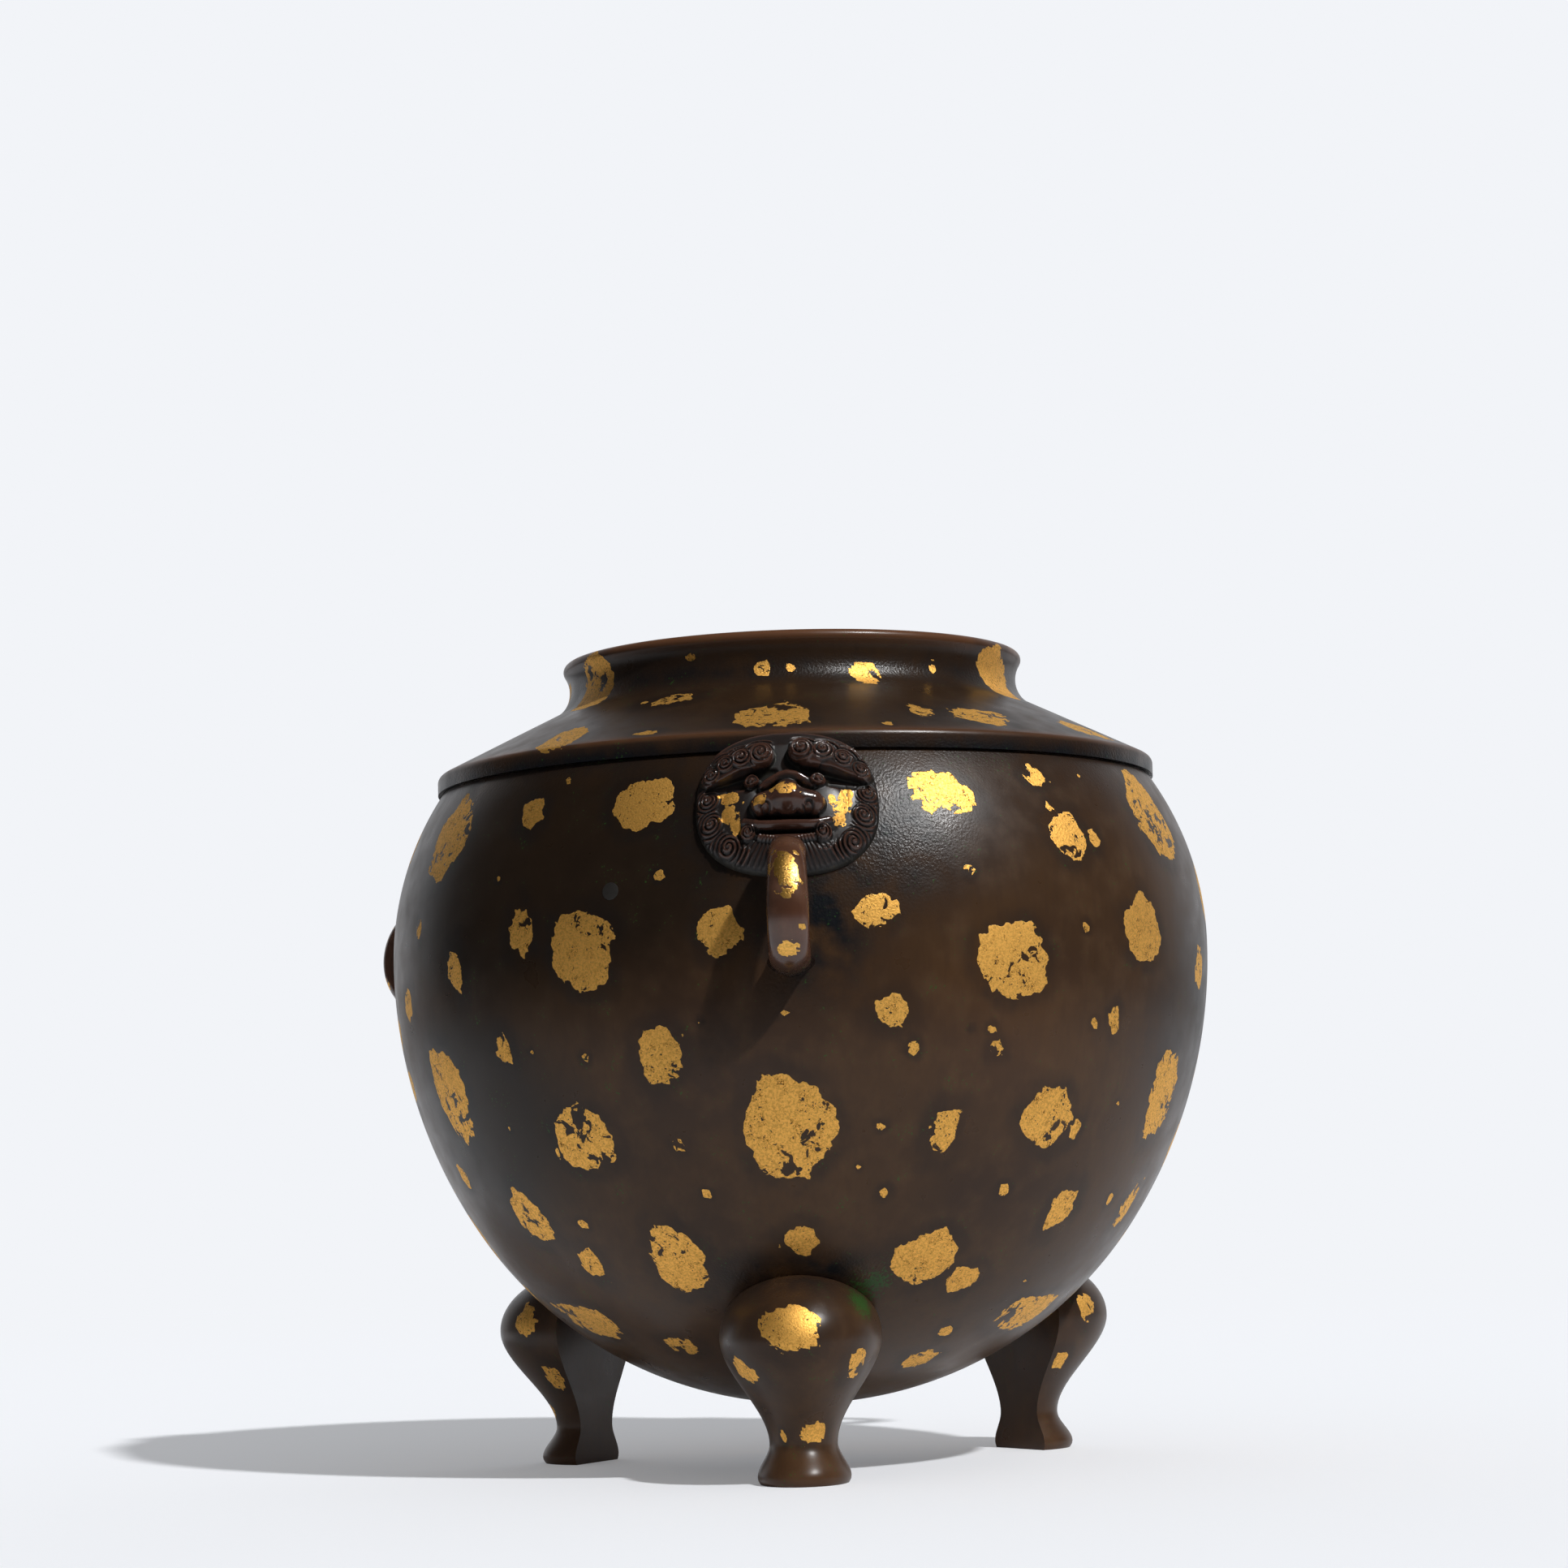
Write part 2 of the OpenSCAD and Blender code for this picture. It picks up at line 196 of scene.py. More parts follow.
# Splashes of gilding, as millimetres inside (+) or outside (-) of the nearest edge, which is wavy
splashLook = {
    "waves": (2, 3, 4, 6), "waveSizes": (0.03, 0.045, 0.035, 0.03), "square": 2.2, "steep": 4, "nothing": -30,
    "reach": 2.5, "facing": 0.1,
}
splashShrink = {"bowl": 0.75, "ring": 0.6, "leg": 0.7, "handle": 0, "mask": 0}  # mm taken off every edge
seeds = {"bowlPlaces": 11, "ringPlaces": 23, "bowl": 3, "ring": 5, "leg": 7, "handle": 13, "mask": 17}


def splashField(places, normals, spots, piece):
    look = splashLook
    power = look["square"]
    draw = random.Random(seeds[piece])
    field = np.full(len(places), look["nothing"])
    for middle, across, up, wide, tall, tilt in spots:
        phases = [draw.uniform(0, 2 * math.pi) for _ in look["waves"]]
        out = np.cross(across, up)
        away = places - middle
        near = np.einsum("ij,ij->i", away, away) < (look["reach"] * max(wide, tall)) ** 2
        near &= normals @ out > look["facing"]
        x, y, h = away[near] @ across, away[near] @ up, away[near] @ out
        c, s = math.cos(math.radians(tilt)), math.sin(math.radians(tilt))
        a, b = (x * c + y * s) * 2 / wide, (y * c - x * s) * 2 / tall
        angle = np.arctan2(b, a)
        wavy = sum(z * np.cos(k * angle + p) for k, z, p in zip(look["waves"], look["waveSizes"], phases))
        flat = (np.abs(a) ** power + np.abs(b) ** power) ** (1 / power) * (1 + wavy)
        distance = np.hypot(flat, 2 * h / max(wide, tall))
        field[near] = np.maximum(field[near], (1 - distance) * max(min(wide, tall) / 2, look["steep"]))
    return field - splashShrink[piece]


# Spot on a round body at a turn and a height, with its directions round and up the wall
def spotOnBody(line, turn, height, wide, tall, tilt=0):
    heights, radii = [p[1] for p in line], [p[0] for p in line]
    low, high = (np.interp(height + d, heights, radii) for d in (-0.5, 0.5))
    frameOut = turnedTo(turn)
    slope = np.array([high - low, 0, 1]) / math.hypot(high - low, 1)
    middle = frameOut @ np.array([np.interp(height, heights, radii), 0, height])
    return middle, frameOut @ np.array([0, 1, 0]), frameOut @ slope, wide, tall, tilt


# Soft round patches for changes of patina, 1 in the middle and 0 at the edge
def softPatch(places, spots):
    patch = np.zeros(len(places))
    for middle, across, up, wide, tall, tilt in spots:
        away = places - middle
        out = np.cross(across, up)
        parts = 2 * away @ across / wide, 2 * away @ up / tall, 2 * away @ out / wide
        patch = np.maximum(patch, unit(1 - np.sqrt(sum(each ** 2 for each in parts))))
    return patch


# Gilded patina: cast bronze under a waxed brown oxide, with flakes of fire gilding on top.
# The oxide is dark and satin, and the gold is warm, pitted and finely wrinkled.
gildingLook = {
    "light": "#f4be62", "deep": "#744a1a", "lobeReach": 2.6, "scallopReach": 0.8, "bump": 0.3,
    # in millimetres
    "lobes": 5, "scallops": 1.1, "holes": 2.7, "holeGroups": 13, "dots": 0.6, "wrinkles": 0.5, "strokes": 1.6,
    "bumpHeight": 0.12,
}


def gildOver(add, coord, patina, patinaRough, patinaHeight, look):
    gild = gildingLook
    splash = add("Attribute", out="Fac", attribute_name="splash")
    grains = {}
    for name, detail, twist in (("lobes", 1, 0), ("scallops", 1, 0), ("holes", 2, 0.6), ("holeGroups", 1, 0),
                                ("dots", 1, 0), ("wrinkles", 3, 0.6), ("strokes", 2, 1.6)):
        size = {"Vector": coord, "Scale": 1000 / gild[name], "Detail": detail, "Distortion": twist}
        grains[name] = add("TexNoise", size)
    # the edge wanders by about a millimetre in lobes and a third of that in scallops
    edge = add("Math", {0: grains["lobes"], 1: gild["lobeReach"], 2: splash}, operation="MULTIPLY_ADD")
    edge = add("Math", {0: grains["scallops"], 1: gild["scallopReach"], 2: edge}, operation="MULTIPLY_ADD")
    inside = add("MapRange", {"Value": edge, "From Min": 1.66, "From Max": 1.74},
                 interpolation_type="SMOOTHSTEP")
    # holes down to the patina, in groups, and fine pits round them
    holes = add("Math", {0: grains["holeGroups"], 1: 0.9, 2: grains["holes"]}, operation="MULTIPLY_ADD")
    whole = add("MapRange",
                {"Value": holes, "From Min": 1.3 - look["wear"], "From Max": 1.28 - look["wear"]},
                interpolation_type="SMOOTHSTEP")
    dots = add("Math", {0: holes, 1: 0.4, 2: grains["dots"]}, operation="MULTIPLY_ADD")
    unpitted = add("MapRange", {"Value": dots, "From Min": 1.1, "From Max": 1.05},
                   interpolation_type="SMOOTHSTEP")
    gold = add("Math", {0: inside, 1: whole}, operation="MULTIPLY")
    gold = add("Math", {0: gold, 1: unpitted}, operation="MULTIPLY")
    # short dark strokes where the leaf creased, along the middle level of a noise
    line = add("Math", {0: grains["strokes"], 1: 0.5}, operation="SUBTRACT")
    line = add("Math", {0: line}, operation="ABSOLUTE")
    crease = add("MapRange",
                 {"Value": line, "From Min": 0.008, "From Max": 0.025, "To Min": 1, "To Max": 0})
    broken = add("MapRange", {"Value": grains["holes"], "From Min": 0.5, "From Max": 0.58})
    crease = add("Math", {0: crease, 1: broken}, operation="MULTIPLY")
    worn = add("MapRange",
               {"Value": grains["wrinkles"], "From Min": 0.35, "From Max": 0.6, "To Min": 0.65, "To Max": 1})
    shade = add("Math", {0: crease, 1: -0.8, 2: worn}, operation="MULTIPLY_ADD", use_clamp=True)
    leaf = add("Mix", {0: shade, 6: linear(gild["deep"]), 7: linear(gild["light"])}, data_type="RGBA")
    colour = add("Mix", {0: gold, 6: patina, 7: leaf}, data_type="RGBA")
    leafRough = add("MapRange", {"Value": grains["wrinkles"], "To Min": look["goldRough"] + 0.12,
                                 "To Max": look["goldRough"] - 0.12})
    rough = add("Mix", {0: gold, 2: patinaRough, 3: leafRough}, data_type="FLOAT")
    leafHeight = add("Math", {0: grains["wrinkles"], 1: 1.2, 2: shade}, operation="MULTIPLY_ADD")
    leafHeight = add("Math", {0: gold, 1: leafHeight}, operation="MULTIPLY")
    height = add("Math", {0: patinaHeight, 1: leafHeight}, operation="ADD")
    bump = add("Bump", {"Strength": gild["bump"], "Distance": gild["bumpHeight"] * mm, "Height": height})
    shader = add("BsdfPrincipled", {"Base Color": colour, "Metallic": gold, "Roughness": rough,
                                    "Specular IOR Level": look["gloss"], "Normal": bump})
    add("OutputMaterial", {"Surface": shader})


# Coats of colour, each over the ones before it where its cover is 1
def layColours(add, look, ground, coats):
    colour = linear(look[ground])
    for cover, tone in coats:
        colour = add("Mix", {0: cover, 6: colour, 7: linear(look[tone])}, data_type="RGBA")
    return colour


# Brown patina, in clouds and fine mottling, blue-black where the heat or the dirt of a joint turned it. Its
# blue-black and deep brown coats also lay painted shade: on the belly's side away from the lamp, in the
# neck's hollow, and on the handles' loops by the wall and under their bends
def brownBronze(name, look):
    material, add = newMaterial(name)
    coord = add("TexCoord", out="Object")
    marks = {each: add("Attribute", out="Fac", attribute_name=each)
             for each in ("splash", "umber", "dusk", "verdigris", "redden")}
    clouds = add("TexNoise", {"Vector": coord, "Scale": 1000 / 42, "Detail": 3})
    mottle = add("TexNoise", {"Vector": coord, "Scale": 1000 / 7, "Detail": 5})
    grit = add("TexNoise", {"Vector": coord, "Scale": 1000 / 0.6, "Detail": 3})
    upright = add("Mapping", {"Vector": coord, "Scale": (1000 / 1.4, 1000 / 1.4, 1000 / 8)})
    rubs = add("TexNoise", {"Vector": upright, "Scale": 1, "Detail": 4})
    cloudy = add("MapRange", {"Value": clouds, "From Min": 0.35, "From Max": 0.65})
    mottled = add("MapRange", {"Value": mottle, "From Min": 0.45, "From Max": 0.75, "To Max": 0.7})
    rubbed = add("MapRange", {"Value": rubs, "From Min": 0.45, "From Max": 0.75, "To Max": 0.35})
    halo = add("MapRange",
               {"Value": marks["splash"], "From Min": -4, "From Max": 0, "To Max": look["halo"]},
               interpolation_type="SMOOTHSTEP")
    # blue-black round the gilding and at joints, and painted shade in the neck's hollow and on the handles by
    # the wall
    blue = add("Math", {0: halo, 1: marks["dusk"]}, operation="MAXIMUM")
    uneven = add("MapRange", {"Value": mottle, "From Min": 0.3, "From Max": 0.6})
    blue = add("Math", {0: blue, 1: uneven}, operation="MULTIPLY")
    crust = add("Math", {0: mottle, 1: 1.4, 2: marks["verdigris"]}, operation="MULTIPLY_ADD")
    crust = add("Math", {0: grit, 1: 2.2, 2: crust}, operation="MULTIPLY_ADD")
    green = add("MapRange", {"Value": crust, "From Min": 2.25, "From Max": 2.5, "To Max": 0.9},
                interpolation_type="SMOOTHSTEP")
    # the deep brown coat is partly patina and partly painted shade, on the belly's left side and on the
    # handles' loops
    brown = layColours(add, look, "dark", (
        (cloudy, "warm"), (mottled, "pale"), (rubbed, "dark"), (marks["umber"], "deep"),
        (marks["redden"], "red"), (blue, "blue"), (green, "green")))
    rough = add("MapRange", {"Value": mottle, "From Min": 0.3, "From Max": 0.7,
                             "To Min": look["roughness"] - 0.05, "To Max": look["roughness"] + 0.06})
    # casting grain shows where the patina is blue-black, and the rest is rubbed smooth
    grainy = add("Math", {0: marks["dusk"], 1: look["grain"], 2: 0.1}, operation="MULTIPLY_ADD")
    height = add("Math", {0: grit, 1: grainy}, operation="MULTIPLY")
    gildOver(add, coord, brown, rough, height, look)
    return material


# Chased cast bronze of the masks: black in the hollows, rubbed red-brown where hands reach, dust in grooves
def maskBronze(name, look):
    material, add = newMaterial(name)
    coord = add("TexCoord", out="Object")
    relief = add("Attribute", out="Fac", attribute_name="relief")
    mottle = add("TexNoise", {"Vector": coord, "Scale": 1000 / 3, "Detail": 4})
    grit = add("TexNoise", {"Vector": coord, "Scale": 1000 / 0.5, "Detail": 2})
    deep = add("MapRange", {"Value": relief, "From Min": -0.7, "From Max": 0.0})
    raised = add("Math", {0: relief, 1: mottle}, operation="MULTIPLY")
    raised = add("MapRange", {"Value": raised, "From Min": 0.02, "From Max": 0.3})
    dusty = add("Math", {0: mottle, 1: relief}, operation="SUBTRACT")
    dusty = add("MapRange", {"Value": dusty, "From Min": 1.25, "From Max": 1.7, "To Max": 0.35})
    brown = layColours(add, look, "hollow", ((deep, "face"), (raised, "rubbed"), (dusty, "dust")))
    rough = add("MapRange", {"Value": relief, "From Min": -0.2, "From Max": 0.6,
                             "To Min": look["roughness"], "To Max": look["rubbedRoughness"]})
    height = add("Math", {0: grit, 1: look["grain"]}, operation="MULTIPLY")
    gildOver(add, coord, brown, rough, height, look)
    return material


# Bare worked bronze with a thin brown oxide, mottled and a little rough from the hammer
def plainBronze(name, dark, light, roughness, metallic):
    material, add = newMaterial(name)
    coord = add("TexCoord", out="Object")
    mottle = add("TexNoise", {"Vector": coord, "Scale": 1000 / 5, "Detail": 5})
    grit = add("TexNoise", {"Vector": coord, "Scale": 1000 / 0.8, "Detail": 2})
    patch = add("MapRange", {"Value": mottle, "From Min": 0.35, "From Max": 0.65})
    brown = add("Mix", {0: patch, 6: linear(dark), 7: linear(light)}, data_type="RGBA")
    rough = add("MapRange", {"Value": mottle, "To Min": roughness - 0.1, "To Max": roughness + 0.1})
    bump = add("Bump", {"Strength": 0.4, "Distance": 0.15 * mm, "Height": grit})
    shader = add("BsdfPrincipled",
                 {"Base Color": brown, "Metallic": metallic, "Roughness": rough, "Normal": bump})
    add("OutputMaterial", {"Surface": shader})
    return material


bowlFinish = {
    "dark": "#36261b", "warm": "#45301d", "pale": "#4d3724", "deep": "#1b130c", "red": "#6a452e",
    "blue": "#0e1014", "green": "#2a4c1e", "halo": 0.5, "roughness": 0.32, "gloss": 0.23, "wear": 0.17,
    "goldRough": 0.6, "grain": 4,
}
handleFinish = {
    "dark": "#3a251b", "warm": "#5a3a29", "pale": "#684836", "deep": "#1b130c", "red": "#4b2115",
    "blue": "#0e0b0a", "green": "#2a4c1e", "halo": 0.0, "roughness": 0.22, "gloss": 0.65, "wear": 0.18,
    "goldRough": 0.4, "grain": 0.5,
}
maskFinish = {
    "hollow": "#080606", "face": "#1d1512", "rubbed": "#452d24", "dust": "#3c3829", "roughness": 0.5,
    "rubbedRoughness": 0.17, "gloss": 0.48, "wear": 0.0, "goldRough": 0.66, "grain": 0.6,
}
brownPatina = brownBronze("brownPatinaBronze", bowlFinish)
redPatina = brownBronze("redBrownHandleBronze", handleFinish)
maskPatina = maskBronze("blackBrownMaskBronze", maskFinish)
insideOxide = plainBronze("unpolishedInsideBronze", "#1c1612", "#33271e", 0.6, 0.0)
plugOxide = plainBronze("greyPlugBronze", "#1c1a17", "#262320", 0.45, 0.0)
rivetOxide = plainBronze("hammeredRivetBronze", "#4a3320", "#6e4d2c", 0.5, 0.6)
print("materials made")


# Bowl: three arcs that run into each other outside, the same wall inside, and a spigot under the shoulder
bowlLow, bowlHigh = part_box("bowl")
bowlShape = {
    "belly": bowlHigh.x / mm, "bottom": bowlLow.z / mm, "equator": 124, "sideArc": 120, "topArc": 73,
    "wall": 3.6, "seam": 165.2, "spigot": 2.6, "ringStep": 1.6, "insideStep": 5, "spinSteps": 480,
}


def bowlLine(grow, step):
    s = bowlShape
    sideX, topX, drop = s["belly"] - s["sideArc"], s["belly"] - s["topArc"], s["equator"] - s["bottom"]
    baseArc = (s["sideArc"] ** 2 - sideX ** 2 - drop ** 2) / (2 * (s["sideArc"] - drop))
    baseZ = s["bottom"] + baseArc
    baseEnd = math.degrees(math.atan2(baseZ - s["equator"], -sideX))
    topEnd = math.degrees(math.asin((s["seam"] - s["equator"]) / s["topArc"]))
    line = arcPoints(0, baseZ, baseArc + grow, -90, baseEnd, step)
    line += arcPoints(sideX, s["equator"], s["sideArc"] + grow, baseEnd, 0, step)[1:]
    line += arcPoints(topX, s["equator"], s["topArc"] + grow, 0, topEnd, step)[1:]
    line[0] = (0, line[0][1])
    return line


# How far the belly leans back at a height above its middle, and its radius there
def wallAt(height):
    topArc = bowlShape["topArc"]
    lean = math.asin((height - bowlShape["equator"]) / topArc)
    return lean, bowlShape["belly"] - topArc + topArc * math.cos(lean)


# Points told as out of the wall, across it and up it, put on the belly at +X
def onWall(height, out, across, up):
    lean, radius = wallAt(height)
    return np.column_stack([radius + out * math.cos(lean) - up * math.sin(lean), across,
                            height + out * math.sin(lean) + up * math.cos(lean)])


baseBall = {"middle": 110.66, "radius": 95.96, "bite": 1.8}  # the bowl's base, and how far the legs go in
bowlOutside = bowlLine(0, bowlShape["ringStep"])
# Splashes of the front, read from the photograph: turn, height, width, height of the splash, tilt
bellySplashes = [
    (-57, 151, 19, 24, -10), (-38, 154, 9, 11, 0), (-19, 154, 18, 15, 12), (23, 154, 19, 13, -10),
    (39, 159, 8, 7, 0), (42, 145, 13, 14, 0), (47, 144, 5, 6, 0), (65, 152, 20, 26, 14),
    (-37, 126, 9, 14, 0), (-27, 121, 19, 20, 0), (-8, 124, 12, 12, -12), (12, 127, 13, 10, 10),
    (55, 124, 16, 18, 10), (31, 116, 21, 19, 0), (-51, 119, 8, 13, 5), (-62, 130, 4, 6, 0),
    (-68, 113, 9, 12, 0), (75, 116, 11, 12, 0),
    (0, 105, 4, 2, 20), (14, 105, 11, 9, 5), (17, 97, 4, 4, 0), (49, 103, 5, 8, 0), (-17, 97, 13, 15, -6),
    (-42, 100, 7, 9, 0), (-58, 91, 18, 26, 12), (-31, 79, 18, 18, -20), (0, 80, 23, 26, 0),
    (22, 78, 9, 14, -8), (39, 81, 16, 17, 0), (45, 78, 4, 8, -20), (66, 87, 17, 25, -6),
    (-49, 62, 13, 17, 12), (-37, 60, 4, 3, 0), (-40, 51, 9, 12, 10), (-21, 51, 15, 23, 6),
    (1, 55, 10, 10, 0),
    (23, 50, 18, 17, 12), (32, 45, 11, 10, 25), (48, 60, 10, 15, -12), (70, 60, 9, 16, -10),
    (-65, 72, 6, 9, 0),
    (-57, 37, 25, 15, -10), (-32, 31, 12, 9, -12), (59, 36, 25, 15, 12), (36, 33, 5, 6, 0),
    (36, 26, 10, 11, 10),
]
# Flecks of the front: turn, height, width
frontFlecks = [
    (49, 160, 2), (-33, 161, 3), (40, 152, 3), (25, 136, 4), (-16, 137, 3), (-42, 139, 2),
    (43, 124, 3), (-11, 104, 2),
    (45, 102, 3), (28, 101, 3), (25, 101, 2), (29, 96, 5), (-37, 99, 2), (-28, 97, 3), (13, 80, 3),
    (-16, 77, 4),
    (10, 71, 2), (34, 65, 4), (-13, 66, 3), (14, 65, 4), (61, 62, 4), (53, 84, 2), (-45, 82, 2),
    (49, 44, 2),
]
backSplashes = {
    "count": 74, "first": 84, "last": 284, "low": 24, "high": 160, "tries": 12,
    "sizes": (22, 19, 16, 14, 12, 10, 8, 6, 5),
}
flecks = {"count": 90, "least": 1.2, "most": 3.4}


# Soft patches of other colours on the bowl: turn, height, width, height of the patch
bowlPatches = {
    "dusk": [(2, 150, 74, 56), (12, 146, 56, 54), (4, 124, 40, 46), (1, 47, 62, 20)],  # at every mask and leg
    # the two high patches and the low one on the front left are painted shade on the side away from the lamp;
    # the rest darken the patina round the back
    "umber": [(-40, 140, 150, 90), (-22, 142, 90, 80), (-52, 86, 84, 80), (100, 110, 160, 100),
              (200, 90, 190, 110), (-120, 130, 120, 90)],
    "verdigris": [(14, 45, 15, 18)],
    "redden": [(30, 100, 60, 50)],
}


def drawPlace(draw, plan):
    return draw.uniform(plan["first"], plan["last"]), draw.uniform(plan["low"], plan["high"])


# Random splashes, each the best of a few tries at keeping away from the rest
def scatterSplashes(draw, made, plan):
    for i in range(plan["count"]):
        tries = []
        for _ in range(plan["tries"]):
            turn, height = drawPlace(draw, plan)
            gaps = [math.hypot((turn - t + 180) % 360 - 180, h - height) - 0.4 * max(w, v)
                    for t, h, w, v, _ in made]
            tries.append((min(gaps), turn, height))
        _, turn, height = max(tries)
        size = plan["sizes"][i * len(plan["sizes"]) // plan["count"]]
        made.append((turn, height, size, size * draw.uniform(0.75, 1.3), draw.uniform(-40, 40)))


def makeBowl():
    s = bowlShape
    inside = bowlLine(-s["wall"], s["insideStep"])
    seamRadius = bowlOutside[-1][0]
    spigotRadius = seamRadius - s["wall"] / 2
    top = [(spigotRadius, s["seam"]), (spigotRadius, s["seam"] + s["spigot"]),
           (seamRadius - s["wall"], s["seam"] + s["spigot"])]
    piece = traceLine("bowlShell", bowlOutside + top + inside[::-1])
    spinLine(s["spinSteps"], 2 * math.pi)
    smoothEdges(piece, 35)
    draw = random.Random(seeds["bowlPlaces"])
    splashes = bellySplashes + [(turn, height, wide, wide, 0) for turn, height, wide in frontFlecks]
    scatterSplashes(draw, splashes, backSplashes)
    for _ in range(flecks["count"]):
        turn, height = drawPlace(draw, backSplashes)
        size = draw.uniform(flecks["least"], flecks["most"])
        splashes.append((turn, height, size * draw.uniform(0.7, 1.4), size, 0))
    places = vertexPlaces(piece)
    spots = [spotOnBody(bowlOutside, *each) for each in splashes]
    splash = splashField(places, vertexNormals(piece), spots, "bowl")
    patches = {}
    for name, marks in bowlPatches.items():
        turns = stations.values() if name == "dusk" else [0]
        marks = [spotOnBody(bowlOutside, turn + t, *size) for turn in turns for t, *size in marks]
        patches[name] = softPatch(places, marks)
    underLedge = 0.7 * np.exp((places[:, 2] - s["seam"]) / 5)  # dirt under the ledge
    # the deep brown patches on the belly's front left are painted shade
    setAttributes(piece, splash=splash, dusk=unit(np.maximum(1.5 * patches["dusk"], underLedge)),
                  umber=np.clip(1.6 * patches["umber"], 0, 0.85), verdigris=patches["verdigris"],
                  redden=0.1 * patches["redden"])
    for face in piece.data.polygons:
        away = Vector(face.center) - Vector((0, 0, s["equator"] * mm))
        face.material_index = 1 if away.dot(face.normal) < 0 else 0
    finishPiece(piece, "bowl", "brown_patina_bronze", brownPatina, insideOxide)
    return piece


bowl = makeBowl()
print("bowl spun:", len(bowl.data.polygons), "faces")


# Shoulder ring: a ledge over the bowl's rim, a slope, a hollow neck and a flared round lip
ringShape = {
    "ledge": 88.4, "ledgeRise": 4.6, "ledgeRound": 1.6, "neck": 55.4, "neckArc": 8, "lipTurn": 148,
    "wall": 3.2, "rim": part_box("shoulder_collar")[1].z / mm, "innerRise": 1.6, "throat": 188,
    "slopeRings": 24, "edgeStep": 0.3, "neckStep": 0.8, "lipStep": 0.4, "backStep": 1.6,
}
ringSplashes = [
    (-55, 188, 16, 20, 0), (-5, 188, 5, 6, 0), (2, 188, 3, 3, 0), (20, 186, 9, 10, 0), (39, 189, 3, 5, 0),
    (63, 188, 16, 19, 0), (-24, 181, 14, 8, 15), (-23, 192, 3, 2, 0), (-30, 181, 4, 2, 20),
    (-1, 174, 20, 17, 0), (25, 175, 7, 9, 0), (36, 174, 18, 13, -10), (-38, 172, 14, 16, 15),
    (-21, 171, 7, 4, 10),
    (17, 171, 3, 3, 0), (61, 173, 18, 12, -10),
]
ringBackSplashes = {
    "count": 26, "first": 82, "last": 290, "low": 170, "high": 191, "tries": 12,
    "sizes": (15, 13, 11, 9, 6, 4),
}


def makeRing():
    s, b = ringShape, bowlShape
    half = s["wall"] / 2
    neckX = s["neck"] + s["neckArc"]
    lip = math.radians(s["lipTurn"])
    neckZ = s["rim"] - (s["neckArc"] + half) * math.sin(lip) - half
    edgeX, edgeZ = s["ledge"] - s["ledgeRound"], b["seam"] + s["ledgeRise"] - s["ledgeRound"]
    run, rise = edgeX - neckX, neckZ - edgeZ
    lean = math.atan2(rise, run) - math.asin((s["neckArc"] + s["ledgeRound"]) / math.hypot(run, rise))
    lean = math.degrees(lean)
    seamRadius = bowlOutside[-1][0]
    spigotRadius = seamRadius - b["wall"] / 2
    spigotTop = b["seam"] + b["spigot"]
    edge = arcPoints(edgeX, edgeZ, s["ledgeRound"], 0, 90 - lean, s["edgeStep"])
    hollow = arcPoints(neckX, neckZ, s["neckArc"], 270 - lean, s["lipTurn"], s["neckStep"])
    slope = [tuple(p) for p in np.linspace(edge[-1], hollow[0], s["slopeRings"])[1:-1]]
    lipX = neckX + (s["neckArc"] + half) * math.cos(lip)
    lipZ = neckZ + (s["neckArc"] + half) * math.sin(lip)
    lipRound = arcPoints(lipX, lipZ, half, s["lipTurn"] - 180, s["lipTurn"], s["lipStep"])
    back = arcPoints(neckX, neckZ, s["neckArc"] + s["wall"], s["lipTurn"], 270 - lean, s["backStep"])
    outside = [(s["ledge"], b["seam"])] + edge + slope + hollow + lipRound[1:6]  # up to the lip's outer side
    start = [(spigotRadius, spigotTop), (spigotRadius, b["seam"])]
    innerEdge = seamRadius - b["wall"]
    end = lipRound[6:] + back[1:] + [(innerEdge, spigotTop + s["innerRise"]), (innerEdge, spigotTop)]
    piece = traceLine("shoulderRing", start + outside + end + start[:1])
    spinLine(bowlShape["spinSteps"], 2 * math.pi)
    smoothEdges(piece, 35)
    splashes = list(ringSplashes)
    scatterSplashes(random.Random(seeds["ringPlaces"]), splashes, ringBackSplashes)
    places = vertexPlaces(piece)
    spots = [spotOnBody(outside, *each) for each in splashes]
    splash = splashField(places, vertexNormals(piece), spots, "ring")
    height, radius = places[:, 2], np.hypot(places[:, 0], places[:, 1])
    edgeHeight = b["seam"] + s["ledgeRise"]
    nearEdge = np.exp(-((radius - s["ledge"]) / 2) ** 2 - ((height - edgeHeight) / 1.2) ** 2)
    nearLip = unit((height - s["rim"] + 4) / 4)
    # dirt and painted shade in the hollow of the neck, and dirt on the ledge's upright face
    throat = np.exp(-((height - s["throat"]) / 3.5) ** 2)
    face = unit((edgeHeight - 1 - height) / 1.2) * (radius > s["ledge"] - 3)
    setAttributes(piece, splash=splash, redden=np.maximum(0.5 * nearEdge, 0.9 * nearLip),
                  dusk=np.maximum(0.75 * throat, face), umber=np.maximum(0.5, face),
                  verdigris=np.zeros(len(places)))
    finishPiece(piece, "shoulder_collar", "brown_patina_bronze", brownPatina)
    return piece


ring = makeRing()
print("shoulder ring spun:", len(ring.data.polygons), "faces")


